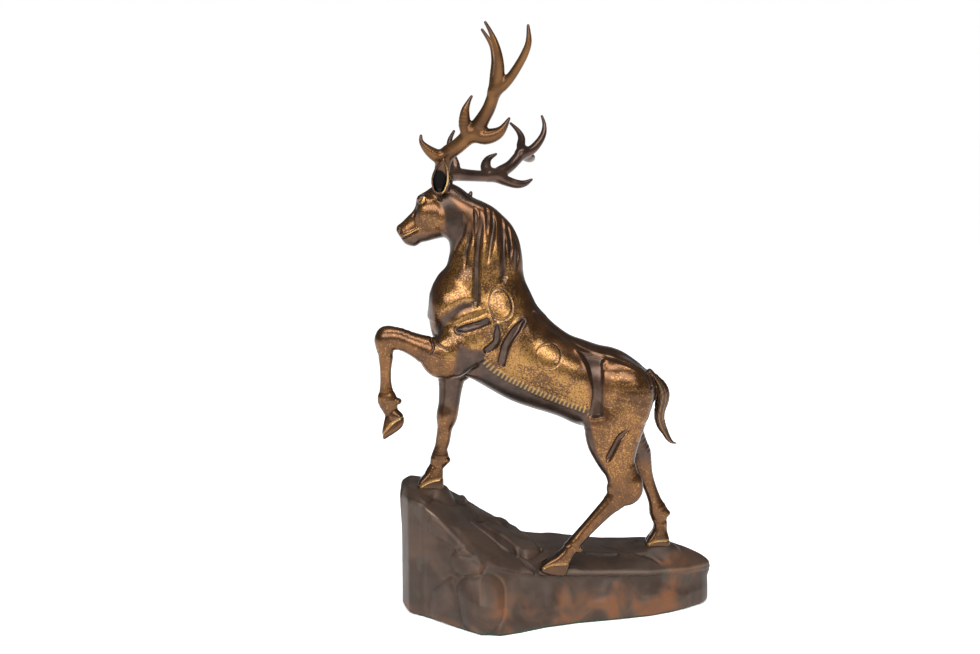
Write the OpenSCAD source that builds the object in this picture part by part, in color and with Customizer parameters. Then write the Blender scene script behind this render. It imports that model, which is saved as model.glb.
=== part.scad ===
// Rearing stag on a rock: a lost-wax bronze statuette cast in sections, doweled together,
// stood on a hollow rock, with antlers that plug into the head.
// Frame: nose towards -X, the stag's left side towards -Y, +Z up, millimetres.
// Origin: middle of the flat underside.

/* [Rock] */
// Thickness of the hollow rock's walls and top
rock_wall = 6; // [4:0.5:8]
// Thickness of the felt glued under the rock
felt_t = 1.5; // [1:0.5:3]
// How far the felt stays inside the rock's outline
felt_inset = 2; // [1:0.5:4]
// Thickness of the brass plate that closes the rock
cover_t = 2; // [1:0.5:3]
// Gap all round the closing plate
cover_gap = 0.3; // [0.2:0.1:1]

/* [Castings] */
// Wall of the hollow barrel and neck
casting_wall = 5; // [3:0.5:7]
// Half of the middle web that the legs seat against
web_half = 9; // [7:1:10]

/* [Fixings] */
// Radius of the dowels across the shoulders and hips
dowel_r = 3; // [2:0.5:3.5]
// Radius of the dowels in neck, head and tail
small_dowel_r = 2.5; // [2:0.5:3]
// Radius of the studs under the hooves
stud_r = 1.5; // [1:0.25:2]
// Radius of the boss that each stud passes through
boss_r = 7; // [6:0.5:8]
// Radius of the closing plate's screws
screw_r = 1.5; // [1:0.25:2]

/* [Antlers] */
// Radius of the pegs under the antlers
peg_r = 2.5; // [2:0.25:3]
// Depth of the sockets in the head
socket_depth = 12; // [8:1:14]
// Radial clearance of a peg in its socket
peg_clearance = 0.05; // [0.03:0.01:0.1]
// Outward lean of the left antler's peg
left_lean = 12; // [5:1:20]
// Outward lean of the right antler's peg
right_lean = 30; // [25:1:35]

/* [Smoothness] */
// Rings between two stations of a casting
steps = 2; // [1:1:3]
// Sides of a leg's section
limb_sides = 16; // [12:2:20]
// Sides of the barrel, neck and head sections
body_sides = 24; // [16:4:28]
// Sides of an antler's section
antler_sides = 10; // [8:1:12]

/* [Hidden] */

bronze = [0.52, 0.38, 0.22];
dark_bronze = [0.33, 0.24, 0.18];
antler_brown = [0.50, 0.34, 0.22];
rock_brown = [0.36, 0.27, 0.22];
brass = [0.80, 0.66, 0.34];
steel = [0.62, 0.62, 0.64];
felt_green = [0.13, 0.22, 0.16];

far = 400;          // longer than anything it cuts
fine = 48;          // $fn of exact round fixings

// ---- Rock ----
// Stations along X: [x, front foot y, front edge y, front edge z, back edge z, back edge y, back foot y]
ROCK = [
    [-128,  14,  12,  96, 103, 42, 46],
    [-122,  -3,  -4,  99, 105, 44, 50],
    [-112, -11, -12,  97, 104, 44, 53],
    [ -96, -23, -20,  87,  98, 42, 54],
    [ -79, -39, -30,  74,  90, 41, 54],
    [ -63, -51, -35,  61,  79, 41, 53],
    [ -47, -53, -32,  52,  69, 42, 52],
    [ -31, -47, -28,  47,  61, 43, 52],
    [ -11, -36, -25,  44,  56, 43, 52],
    [  14, -27, -20,  42,  54, 43, 52],
    [  40, -21, -14,  40,  51, 43, 53],
    [  76, -11,  -6,  37,  52, 42, 54],
    [  95,  -3,   1,  36,  50, 41, 53],
    [ 110,   7,  10,  34,  45, 39, 51],
    [ 123,  17,  20,  33,  40, 36, 47],
    [ 130,  26,  27,  32,  36, 33, 40]
];
rock_half_length = 130;

// ---- Castings ----
// Stations: [x1, z1, x2, z2, half width, middle y], where 1 and 2 are opposite points of the outline
TORSO = [
    [ 79, 188,   79, 183,  3, 0],
    [ 77.5, 194, 77, 177,  9, 0],
    [ 73, 203,   72, 173, 15, 0],
    [ 66, 209,   65, 170, 19, 0],
    [ 57, 216,   56, 167, 22, 0],
    [ 46, 221,   46, 163, 24, 0],
    [ 34, 224,   36, 160, 24, 0],
    [ 22, 228,   24, 159, 24, 0],
    [ 10, 232,   12, 161, 25, 0],
    [  0, 239,    2, 166, 25, 0],
    [ -9, 247,  -10, 170, 26, 0],
    [-18, 256,  -24, 175, 26, 0],
    [-28, 272,  -36, 179, 26, 0],
    [-44, 284,  -52, 187, 26, 0],
    [-66, 290,  -70, 196, 26, 0],
    [-86, 288,  -84, 204, 24, 0],
    [-98, 280,  -94, 216, 19, 0],
    [-103, 268, -101, 232, 12, 0],
    [-104, 256, -103, 247,  4, 0]
];
TORSO_HOLLOW = [6, 12];     // stations that the barrel's hollow runs between

NECK = [
    [ -98, 340, -80, 352, 12, 0],
    [-100, 330, -70, 346, 15, 0],
    [ -97, 321, -56, 338, 16, 0],
    [ -92, 315, -44, 328, 17, 0],
    [ -88, 310, -35, 317, 18, 0],
    [ -86.5, 303, -31, 306, 19, 0],
    [ -88, 295, -29.5, 296, 20, 0],
    [ -92, 285, -28.5, 286, 21, 0],
    [ -97, 276, -27, 278, 22.5, 0],
    [-101, 267, -24, 271, 24, 0],
    [-103, 258, -20, 264, 25.5, 0],
    [-104, 250, -16, 250, 26, 0]
];
NECK_HOLLOW = [4, 8];

HEAD = [
    [ -70, 350, -70, 300, 17, 0],
    [ -78, 352, -76, 300, 17, 0],
    [ -88, 354, -84, 302, 16, 0],
    [ -97, 352.5, -90, 310, 14.5, 0],
    [-105, 347.5, -97, 310.5, 14, 0],
    [-111.5, 343.5, -104, 308, 12, 0],
    [-115, 333, -112, 305, 9.5, 0],
    [-121, 327, -119, 304.5, 8.5, 0],
    [-127, 322, -124.5, 306.5, 7.5, 0],
    [-129, 319, -128, 314, 3.5, 0]
];

TAIL = [
    [68, 207, 80, 199.5, 4.5, 0],
    [74, 197, 86, 193, 5.5, 0],
    [77.5, 188, 89.5, 187, 6, 0],
    [78, 180, 89.5, 180, 6, 0],
    [77, 168, 86.5, 168, 5, 0],
    [79, 159, 87.5, 160, 4.4, 0],
    [83.5, 152, 90.5, 155.5, 3.6, 0],
    [87.5, 146.5, 93, 150, 2.8, 0],
    [92, 143.5, 95, 145.5, 1.6, 0],
    [96, 143, 96.5, 144.2, 0.6, 0]
];

LEFT_EAR = [
    [-91, 375, -90, 375, 0.6, -25],
    [-94, 371, -88.5, 370.5, 1.8, -24],
    [-98, 365, -87, 364, 2.8, -22.5],
    [-100.5, 358, -87, 357, 3.4, -20.5],
    [-100, 352, -88.5, 351, 3.2, -18.5],
    [-97, 346, -92, 346, 2.4, -15.5],
    [-96, 341, -92, 341, 2.4, -11]
];
// The right ear is laid outwards, clear of the right antler
RIGHT_EAR = [
    [-91, 363.4,   -90, 363.4, 0.9, 40],
    [-94, 360.5, -88.5, 360,   2.8, 37],
    [-98, 356.5,   -87, 355.5, 4.4, 33],
    [-100.5, 351.5, -87, 350.5, 5.4, 27.7],
    [-100, 347.5, -88.5, 346.5, 5, 23],
    [-97, 343,     -92, 343,   3.6, 17.4],
    [-96, 341,     -92, 341,   2.8, 11]
];
ear_wall = 1.2;
left_scoop = [0, -1.9, 0];          // how far each ear's hollow is offset outwards
right_scoop = [0, 1.3, -1.7];

LEFT_FORELEG = [
    [ -64, 257,  -50, 220,  8, -17],
    [ -77, 252,  -58, 212, 11, -17],
    [ -90, 241,  -72, 203, 12, -17],
    [ -98, 236,  -86, 201, 11.5, -17.5],
    [-106, 238,  -97, 207, 10.5, -18],
    [-117, 240, -111, 216,  9, -18],
    [-129, 242.5, -124, 223,  8, -18],
    [-139, 241, -131, 223.5,  8, -18],
    [-144, 232, -131, 221,  7.5, -18],
    [-143, 221, -131.5, 215,  6, -18],
    [-142, 210, -133, 207,  5, -18],
    [-142, 198, -133, 197,  4.6, -18],
    [-143, 188, -131, 189,  5.2, -18],
    [-144, 183, -128, 184,  6, -18],
    [-140, 175, -127, 176,  5.6, -18],
    [-138, 169, -124, 171,  6, -18],
    [-139.5, 162, -123.5, 166,  6.5, -18],
    [-140, 152.5, -126, 161,  5.5, -18]
];

RIGHT_FORELEG = [
    [ -90, 250,  -52, 246,  7, 16],
    [ -97, 236,  -53, 232, 10, 17],
    [ -99, 222,  -58, 215, 12, 17],
    [ -99, 210,  -67, 203, 11.5, 17.5],
    [ -98, 199,  -74, 197, 10, 18],
    [ -97, 185,  -78, 184,  8.5, 18],
    [ -97.5, 170,  -80.5, 169,  7.5, 18],
    [ -98, 158,  -84, 157,  7, 18],
    [ -98, 150,  -86, 150,  6.2, 18],
    [-100, 140,  -87.5, 141,  5.2, 18],
    [-101.5, 133,  -89.5, 134,  5.2, 18],
    [-104, 127,  -88.5, 125,  6, 18],
    [-106, 118,  -94.5, 119,  5.4, 18],
    [-110, 112,  -95, 113,  6, 18],
    [-114.5, 107,  -94.5, 108,  7, 18],
    [-116, 101,  -95, 102,  7.2, 18],
    [-116,  96,  -95,  97,  7, 18]
];

LEFT_HIND_LEG = [
    [ 38, 216,  60, 214,  6, -14],
    [ 34, 206,  72, 205, 11, -15.5],
    [ 32, 191,  78.5, 192, 12.5, -16],
    [ 27, 176,  77, 178, 13, -16.5],
    [ 19, 163,  73, 166, 12.5, -17],
    [ 20.5, 153,  68, 155, 11, -17.5],
    [ 25, 144,  64, 146, 10, -18],
    [ 31, 133,  62.5, 137,  8.8, -18.5],
    [ 36, 125,  63, 128,  8, -19],
    [ 38.5, 117,  65, 119.5,  7.4, -19.5],
    [ 38, 111,  67.5, 113,  7, -20],
    [ 33, 102,  60, 105,  6.2, -20],
    [ 26.5, 92,  47,  94,  5.6, -20],
    [ 19.5, 83,  37.5,  84.5,  5.2, -20],
    [ 12.5, 74,  28,  74.5,  5.4, -20],
    [  6, 66,  20.5,  66,  6.2, -20],
    [  0.5, 59,  14,  58,  5.8, -20],
    [ -6, 54.5,   8.8,  52,  6.5, -20],
    [-13, 50,   7.5,  46,  7.2, -20],
    [-14, 46,   6,  40,  7.2, -20],
    [-14, 39,   6,  34,  7, -20]
];

RIGHT_HIND_LEG = [
    [ 38, 216,  60, 214,  6, 14],
    [ 34, 206,  72, 205, 11, 15.5],
    [ 32, 191,  78.5, 192, 12.5, 16],
    [ 31, 176,  77, 178, 13, 16.5],
    [ 34, 163,  74.5, 166, 12, 17],
    [ 41, 152,  72, 155, 10.5, 18],
    [ 50, 142,  74, 145,  8.8, 19],
    [ 57.5, 133,  77.5, 134,  7.6, 20],
    [ 61, 125,  79, 126,  7, 21],
    [ 66, 114,  80, 115,  6, 21.5],
    [ 72, 102,  83, 103,  5.2, 22],
    [ 76.5, 90,  88, 90,  5.2, 22],
    [ 78, 79,  94, 79,  6.2, 22],
    [ 82, 70,  92, 70.5,  5.6, 22],
    [ 81, 63,  93.5, 63,  6.4, 22],
    [ 76, 57,  95.5, 57,  7.2, 22],
    [ 74.5, 51,  95.5, 51,  7.2, 22],
    [ 75, 43,  95.5, 43,  7, 22]
];

// ---- Antlers ----
// Stations: [x, y, z, radius]
left_seat = [-93, -8, 356];         // middle of the left antler's seat on the head
right_seat = [-91, 9, 355];
coronet_r = 7.2;
coronet_h = 3;
pedicle_r = 6.6;

LEFT_BEAM = [
    [-93, -8.6, 358, 6], [-92, -10, 366, 6.4], [-90, -13, 376, 6.2], [-80, -17, 383, 5.8],
    [-72, -20, 390, 6], [-66, -22, 395, 6.8], [-60, -27, 404.5, 5.4], [-56, -30, 411.5, 5],
    [-53, -33, 419.5, 4.8], [-50.5, -36, 427, 4.8], [-48.5, -39, 434, 4.2],
    [-48, -42, 442, 3.8], [-49, -44, 451, 3.2], [-51.5, -45, 460, 2.6],
    [-55, -46, 468, 1.8], [-58.5, -47, 475, 0.6]
];
LEFT_TINES = [
    [[-91, -12, 373, 5.6], [-97, -15, 376, 5], [-103, -18, 380.5, 3.6], [-107.5, -20, 386, 1.9],
     [-108, -20, 391, 0.6]],
    [[-70, -21, 392, 6], [-74, -23, 399, 5], [-74, -26, 409, 3.4], [-71.5, -27, 416, 1.8],
     [-69, -27, 420.5, 0.6]],
    [[-67, -22, 393, 6.4], [-59, -24, 390.5, 6.2], [-51, -26, 392, 5], [-45.5, -28, 396, 3.2],
     [-40.5, -29, 404, 0.6]],
    [[-52, -34, 424, 4.4], [-53, -30, 436, 3.4], [-53, -27, 448, 2.8], [-55, -26, 459, 2.2],
     [-61, -27, 470, 0.6]],
    [[-51, -36, 425, 4.4], [-46, -38, 428, 4.2], [-40, -41, 434, 3.6], [-34.5, -44, 442, 3.3],
     [-29.5, -47, 451, 3], [-26.5, -49, 460, 2.4], [-27, -50, 472, 0.6]]
];
RIGHT_BEAM = [
    [-91, 10.5, 357.5, 5.8], [-88, 14, 360, 5.8], [-83, 19, 360, 5.4], [-70.5, 30, 358.5, 4.7],
    [-58, 42, 357.5, 4.6], [-50, 49, 358.5, 5.2], [-46, 53, 360.5, 5.2], [-38.5, 60, 365, 4.6],
    [-32.5, 66, 371, 4.6], [-28.5, 70, 376.5, 4.6], [-29, 75, 382, 3.7], [-28.5, 80, 388, 3],
    [-31.5, 84, 394, 2.2], [-37.5, 88, 400, 0.6]
];
RIGHT_TINES = [
    [[-85, 17, 360.5, 5], [-83, 20, 367, 4], [-86.5, 25, 377, 3.1], [-87.5, 29, 386, 2.2],
     [-84, 31, 394, 0.6]],
    [[-56, 44, 358.5, 5], [-58.5, 49, 365, 4.4], [-56.5, 54, 371, 2.8], [-50, 56, 375, 0.6]],
    [[-52, 47, 358, 5], [-41, 52, 353, 4.2], [-32.5, 54, 350.5, 3.6], [-26, 56, 351, 2.6],
     [-20.5, 57, 354, 0.6]],
    [[-29, 69, 375.5, 4.4], [-21, 74, 377.5, 4], [-14.5, 79, 383.5, 3.4], [-10, 84, 391, 2.7],
     [-9, 88, 399, 1.8], [-11, 90, 406, 0.6]],
    [[-29, 70, 375, 4.2], [-23, 82, 372, 3.6], [-20, 96, 371, 1.9], [-20, 103, 373, 0.6]]
];

// ---- Where the pieces meet ----
neck_seam = [-62, 0, 261];
neck_tilt = 7;
head_seam = [-83, 0, 330];
head_tilt = 77;
shoulder_axis = [-78, 228];         // x and z of the dowel across the shoulders
hip_axis = [54, 192];
cross_dowel = 36;                   // length across the web and into both legs
section_dowel = 22;                 // length of the dowels in neck and head
neck_dowel_up = 9;                  // how far the neck's dowel reaches above the seam
vent_at = [-44, 262];               // x of the hole that vents the neck's core, and z where it starts
vent_r = 2.5;
vent_h = 24;
tail_root = [75, 0, 199];
tail_pitch = 118;                   // direction of the tail's dowel, turned about Y
tail_dowel_length = 12;

// Each hoof's stud: [x, y, z of the sole, boss depth under the sole]
HOOF_STUDS = [[-103, 18, 100, 15], [0, -17, 44, 14], [85, 22, 51, 14]];
stud_up = 12;
stud_pocket_r = 5;                  // clearance round the washers and nuts
stud_pocket_h = 14;
washer_t = 1;
washer_r = 4.5;
nut_r = 4;
nut_t = 3;
SCREWS = [[-105, 30], [-55, 30], [60, 36], [-48, -36], [112, 33]];
screw_length = 12;
screw_boss_r = 4.5;
screw_head_r = 2.8;

// ---- Curves and skins ----
function spline(a, b, c, d, t) =
    0.5 * (2 * b + (c - a) * t + (2 * a - 5 * b + 4 * c - d) * t * t + (3 * b - a - 3 * c + d) * t * t * t);
function smooth(s) =
    let (last = len(s) - 1)
    [for (i = [0:last - 1], k = [0:steps - 1])
        spline(s[max(i - 1, 0)], s[i], s[i + 1], s[min(i + 2, last)], k / steps),
     s[last]];
function unit(v) = v / norm(v);
function turns(n) = [for (k = [0:n - 1]) 360 * k / n];
function slice(s, range) = [for (i = [range[0]:range[1]]) s[i]];

// One section of a casting: an ellipse through the two outline points
function section(s, n) =
    let (c = [(s[0] + s[2]) / 2, s[5], (s[1] + s[3]) / 2], h = [(s[0] - s[2]) / 2, 0, (s[1] - s[3]) / 2])
    [for (a = turns(n)) c + cos(a) * h + [0, sin(a) * s[4], 0]];
// The same station with its outline moved in by the wall
function inward(s, wall) =
    let (h = [s[0] - s[2], s[1] - s[3]], m = unit(h) * wall)
    [s[0] - m[0], s[1] - m[1], s[2] + m[0], s[3] + m[1], s[4] - wall, s[5]];
function hollow(s, wall) = [for (p = s) inward(p, wall)];

// One round section of an antler, square to its run; side is a direction that the run never takes
function round_section(p, i, side, n) =
    let (t = unit([for (j = [0:2]) p[min(i + 1, len(p) - 1)][j] - p[max(i - 1, 0)][j]]),
         u = unit(cross(side, t)), v = cross(t, u), c = [p[i][0], p[i][1], p[i][2]])
    [for (a = turns(n)) c + p[i][3] * (cos(a) * u + sin(a) * v)];

// Closed skin over a list of rings, each turning right-handed about the run
module skin(rings) {
    n = len(rings[0]);
    m = len(rings);
    sides = [for (i = [0:m - 2], k = [0:n - 1])
        let (a = i * n + k, b = i * n + (k + 1) % n)
        each [[a, a + n, b + n], [a, b + n, b]]];
    first = [for (k = [0:n - 1]) k];
    last = [for (k = [n - 1:-1:0]) (m - 1) * n + k];
    polyhedron([for (r = rings, p = r) p], concat([first], sides, [last]));
}
module casting(stations, n) {
    skin([for (s = smooth(stations)) section(s, n)]);
}
module tine(stations, side = [0, 1, 0]) {
    path = smooth(stations);
    skin([for (i = [0:len(path) - 1]) round_section(path, i, side, antler_sides)]);
}
// Overlapping skins run together into one closed surface
module one_surface() {
    resize([0, 0, 0]) union() children();
}
// Everything on the upper side of a seam plane, which is turned about Y
module upper_side(seam, tilt) {
    translate(seam) rotate([0, -tilt, 0]) translate([-far / 2, -far / 2, 0]) cube(far);
}
module lower_side(seam, tilt) {
    translate(seam) rotate([0, -tilt, 0]) translate([-far / 2, -far / 2, -far]) cube(far);
}
// The middle of the barrel, which the legs seat against
module web() {
    translate([-far / 2, -web_half, 145]) cube([far, 2 * web_half, far]);
}

// ---- Rock shapes ----
// Section across the rock: foot, bulging face, edge, crown, edge and foot again
function rock_section(s, wall) =
    let (x = s[0] * (rock_half_length - wall) / rock_half_length,
         foot = felt_t - (wall > 0 ? felt_t : 0),
         f0 = s[1] + wall, f1 = s[2] + wall, b1 = s[5] - wall, b0 = s[6] - wall,
         zf = s[3] - wall, zb = s[4] - wall)
    [for (p = [[b0, foot], [b0 + 1, 0.35 * zb], [b1 + 2, 0.85 * zb], [b1, zb],
               [b1 * 0.7 + f1 * 0.3, zb * 0.97 + zf * 0.03], [b1 * 0.35 + f1 * 0.65, zb * 0.72 + zf * 0.28],
               [f1, zf], [f1 - 1.5, 0.85 * zf], [f0 * 0.8 + f1 * 0.2 - 2, 0.4 * zf], [f0, foot]])
        [x, p[0], p[1]]];
module rock_shape(wall = 0) {
    skin([for (s = ROCK) rock_section(s, wall)]);
}
function rock_outline(wall) =
    let (k = (rock_half_length - wall) / rock_half_length)
    concat([for (s = ROCK) [s[0] * k, s[1] + wall]],
           [for (i = [len(ROCK) - 1:-1:0]) [ROCK[i][0] * k, ROCK[i][6] - wall]]);
module rock_fillings() {
    for (s = HOOF_STUDS) translate([s[0], s[1], s[2] - s[3]]) cylinder(r = boss_r, h = far, $fn = 24);
    for (p = SCREWS) translate([p[0], p[1], felt_t + cover_t]) cylinder(r = screw_boss_r, h = far, $fn = 16);
}
module stud_pockets() {
    for (s = HOOF_STUDS) translate([s[0], s[1], s[2] - s[3] - stud_pocket_h]) {
        cylinder(r = stud_pocket_r, h = stud_pocket_h, $fn = 24);
    }
}
module along_studs() {
    for (s = HOOF_STUDS) translate([s[0], s[1], s[2]]) children();
}

// ---- Rock and its closing parts ----
module rock_base() {
    color(rock_brown) difference() {
        one_surface() difference() {
            rock_shape();
            difference() {
                rock_shape(rock_wall);
                rock_fillings();
            }
            stud_pockets();
        }
        along_studs() translate([0, 0, -40]) cylinder(r = stud_r, h = 80, $fn = fine);
        for (p = SCREWS) translate([p[0], p[1], -1]) cylinder(r = screw_r, h = screw_length + 1, $fn = fine);
    }
}
module base_cover() {
    color(brass) difference() {
        translate([0, 0, felt_t]) linear_extrude(cover_t) polygon(rock_outline(rock_wall + cover_gap));
        for (p = SCREWS) translate([p[0], p[1], felt_t]) {
            translate([0, 0, -1]) cylinder(r = screw_r, h = cover_t + 2, $fn = fine);
            cylinder(r1 = screw_head_r, r2 = screw_r, h = screw_head_r - screw_r, $fn = fine);
        }
    }
}
module cover_screws() {
    color(steel) for (p = SCREWS) translate([p[0], p[1], felt_t]) {
        cylinder(r1 = screw_head_r, r2 = screw_r, h = screw_head_r - screw_r, $fn = fine);
        cylinder(r = screw_r, h = screw_length - felt_t, $fn = fine);
    }
}
module base_felt() {
    color(felt_green) linear_extrude(felt_t) polygon(rock_outline(felt_inset));
}

// ---- Dowels, studs and pegs ----
module cross_rod(at) {
    translate([at[0], cross_dowel / 2, at[1]]) rotate([90, 0, 0]) {
        cylinder(r = dowel_r, h = cross_dowel, $fn = fine);
    }
}
module shoulder_dowel() {
    color(brass) cross_rod(shoulder_axis);
}
module hip_dowel() {
    color(brass) cross_rod(hip_axis);
}
module section_rod(seam, tilt, up) {
    translate(seam) rotate([0, -tilt, 0]) translate([0, 0, up - section_dowel]) {
        cylinder(r = small_dowel_r, h = section_dowel, $fn = fine);
    }
}
module neck_dowel() {
    color(brass) section_rod(neck_seam, neck_tilt, neck_dowel_up);
}
module head_dowel() {
    color(brass) section_rod(head_seam, head_tilt, section_dowel / 2);
}
module tail_dowel() {
    color(brass) translate(tail_root) rotate([0, tail_pitch, 0]) translate([0, 0, -tail_dowel_length / 2]) {
        cylinder(r = small_dowel_r / 2, h = tail_dowel_length, $fn = fine);
    }
}
module hoof_studs() {
    color(steel) for (s = HOOF_STUDS) {
        translate([s[0], s[1], s[2] - s[3] - washer_t - nut_t - 1]) {
            cylinder(r = stud_r, h = s[3] + washer_t + nut_t + 1 + stud_up, $fn = fine);
        }
    }
}
module stud_ring(s, drop, r, h, sides) {
    translate([s[0], s[1], s[2] - s[3] - drop]) difference() {
        cylinder(r = r, h = h, $fn = sides);
        translate([0, 0, -1]) cylinder(r = stud_r, h = h + 2, $fn = fine);
    }
}
module stud_washers() {
    color(steel) for (s = HOOF_STUDS) stud_ring(s, washer_t, washer_r, washer_t, fine);
}
module stud_nuts() {
    color(steel) for (s = HOOF_STUDS) stud_ring(s, washer_t + nut_t, nut_r, nut_t, 6);
}
module at_seat(seat, lean) {
    translate(seat) rotate([lean, 0, 0]) children();
}
module peg(r) {
    translate([0, 0, -socket_depth]) cylinder(r = r, h = 2 * socket_depth, $fn = fine);
}
module left_antler_peg() {
    color(brass) at_seat(left_seat, left_lean) peg(peg_r);
}
module right_antler_peg() {
    color(brass) at_seat(right_seat, -right_lean) peg(peg_r);
}

// ---- Castings ----
module left_legs_shape() {
    casting(LEFT_FORELEG, limb_sides);
    casting(LEFT_HIND_LEG, limb_sides);
}
module right_legs_shape() {
    casting(RIGHT_FORELEG, limb_sides);
    casting(RIGHT_HIND_LEG, limb_sides);
}
module leg(stations) {
    one_surface() difference() {
        casting(stations, limb_sides);
        web();
        rock_shape();
        upper_side(neck_seam, neck_tilt);
    }
}
module torso() {
    color(bronze) difference() {
        one_surface() difference() {
            casting(TORSO, body_sides);
            upper_side(neck_seam, neck_tilt);
            difference() {
                union() {
                    left_legs_shape();
                    right_legs_shape();
                }
                web();
            }
            casting(hollow(slice(TORSO, TORSO_HOLLOW), casting_wall), limb_sides);
        }
        cross_rod(shoulder_axis);
        cross_rod(hip_axis);
        section_rod(neck_seam, neck_tilt, neck_dowel_up);
        tail_dowel();
    }
}
module neck() {
    color(dark_bronze) difference() {
        one_surface() difference() {
            casting(NECK, body_sides);
            lower_side(neck_seam, neck_tilt);
            upper_side(head_seam, head_tilt);
            casting(hollow(slice(NECK, NECK_HOLLOW), casting_wall), limb_sides);
            translate([vent_at[0], 0, vent_at[1]]) cylinder(r = vent_r, h = vent_h, $fn = 16);
        }
        section_rod(neck_seam, neck_tilt, neck_dowel_up);
        section_rod(head_seam, head_tilt, section_dowel / 2);
    }
}
module head() {
    color(bronze) difference() {
        one_surface() {
            difference() {
                casting(HEAD, body_sides);
                lower_side(head_seam, head_tilt);
            }
            at_seat(left_seat, left_lean) pedicle();
            at_seat(right_seat, -right_lean) pedicle();
        }
        section_rod(head_seam, head_tilt, section_dowel / 2);
        at_seat(left_seat, left_lean) socket();
        at_seat(right_seat, -right_lean) socket();
    }
}
module pedicle() {
    translate([0, 0, -8]) cylinder(r = pedicle_r, h = 8, $fn = 24);
}
module socket() {
    translate([0, 0, -socket_depth]) cylinder(r = peg_r + peg_clearance, h = socket_depth + 1, $fn = fine);
}
module ear(stations, scoop) {
    one_surface() difference() {
        casting(stations, limb_sides);
        translate(scoop) casting(hollow(slice(stations, [1, 4]), ear_wall), limb_sides);
        casting(HEAD, body_sides);
    }
}
module left_ear() {
    color(bronze) ear(LEFT_EAR, left_scoop);
}
module right_ear() {
    color(bronze) ear(RIGHT_EAR, right_scoop);
}
module tail() {
    color(dark_bronze) difference() {
        one_surface() difference() {
            casting(TAIL, limb_sides);
            casting(TORSO, body_sides);
            left_legs_shape();
            right_legs_shape();
        }
        tail_dowel();
    }
}
module left_foreleg() {
    color(bronze) difference() {
        leg(LEFT_FORELEG);
        cross_rod(shoulder_axis);
    }
}
module right_foreleg() {
    color(bronze) difference() {
        leg(RIGHT_FORELEG);
        cross_rod(shoulder_axis);
        hoof_studs();
    }
}
module left_hind_leg() {
    color(bronze) difference() {
        leg(LEFT_HIND_LEG);
        cross_rod(hip_axis);
        hoof_studs();
    }
}
module right_hind_leg() {
    color(bronze) difference() {
        leg(RIGHT_HIND_LEG);
        cross_rod(hip_axis);
        hoof_studs();
    }
}

// ---- Antlers ----
module coronet() {
    rotate_extrude($fn = 20) polygon([[0, 0], [coronet_r - 0.8, 0], [coronet_r, 0.8],
                                      [coronet_r, coronet_h - 1], [coronet_r - 1.6, coronet_h], [0, coronet_h]]);
}
module antler(beam, tines, seat, lean, side) {
    difference() {
        one_surface() difference() {
            union() {
                tine(beam, side);
                for (t = tines) tine(t, side);
                at_seat(seat, lean) coronet();
            }
            at_seat(seat, lean) translate([-far / 2, -far / 2, -far]) cube(far);
        }
        at_seat(seat, lean) peg(peg_r);
    }
}
module left_antler() {
    color(antler_brown) antler(LEFT_BEAM, LEFT_TINES, left_seat, left_lean, [0, 1, 0]);
}
module right_antler() {
    color(antler_brown) antler(RIGHT_BEAM, RIGHT_TINES, right_seat, -right_lean, [0, 0.6, -0.8]);
}

rock_base();
base_cover();
cover_screws();
base_felt();
torso();
neck();
head();
left_ear();
right_ear();
tail();
left_foreleg();
right_foreleg();
left_hind_leg();
right_hind_leg();
neck_dowel();
head_dowel();
shoulder_dowel();
hip_dowel();
tail_dowel();
hoof_studs();
stud_washers();
stud_nuts();
left_antler();
left_antler_peg();
right_antler();
right_antler_peg();
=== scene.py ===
"""Looks of the stag statuette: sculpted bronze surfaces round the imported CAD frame.

Every casting is modelled as clay: a signed distance in millimetres on a regular grid, built from
swept limbs, outline solids and ellipsoids, then engraved. One set of surface nets cuts the clay
into the separate castings, so that neighbours share their seam exactly. The fixings keep their CAD meshes
and only get a material.
"""
import math

import bpy
import numpy as np
from mathutils import Matrix, Vector


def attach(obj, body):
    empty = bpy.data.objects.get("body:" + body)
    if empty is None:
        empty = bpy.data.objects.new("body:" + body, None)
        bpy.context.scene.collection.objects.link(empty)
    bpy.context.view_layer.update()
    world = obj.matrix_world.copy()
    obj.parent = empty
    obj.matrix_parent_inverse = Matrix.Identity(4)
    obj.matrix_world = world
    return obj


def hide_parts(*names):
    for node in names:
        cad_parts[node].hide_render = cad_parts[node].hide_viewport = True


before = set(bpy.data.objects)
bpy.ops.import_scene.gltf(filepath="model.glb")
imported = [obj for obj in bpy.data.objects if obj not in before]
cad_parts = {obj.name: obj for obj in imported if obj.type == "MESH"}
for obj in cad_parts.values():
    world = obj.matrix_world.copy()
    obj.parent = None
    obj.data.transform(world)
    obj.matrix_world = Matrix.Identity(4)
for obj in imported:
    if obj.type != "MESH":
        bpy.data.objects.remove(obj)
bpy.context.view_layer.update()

MM = 0.001
VOXEL = 0.65
FINE_VOXEL = 0.5
ROCK_VOXEL = 1.15
AIR = 9.0          # the clay's largest distance, in mm


# ---------------------------------------------------------------- curves
def curve(points, per=6):
    """The given points run through with a smooth curve."""
    p = np.array(points, float)
    p = np.vstack([p[:1], p, p[-1:]])
    out = []
    for i in range(1, len(p) - 2):
        a, b, c, d = p[i - 1], p[i], p[i + 1], p[i + 2]
        for t in np.arange(per) / per:
            out.append(0.5 * (2 * b + (c - a) * t + (2 * a - 5 * b + 4 * c - d) * t**2
                              + (3 * b - a - 3 * c + d) * t**3))
    out.append(p[-2])
    return np.array(out)


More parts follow.
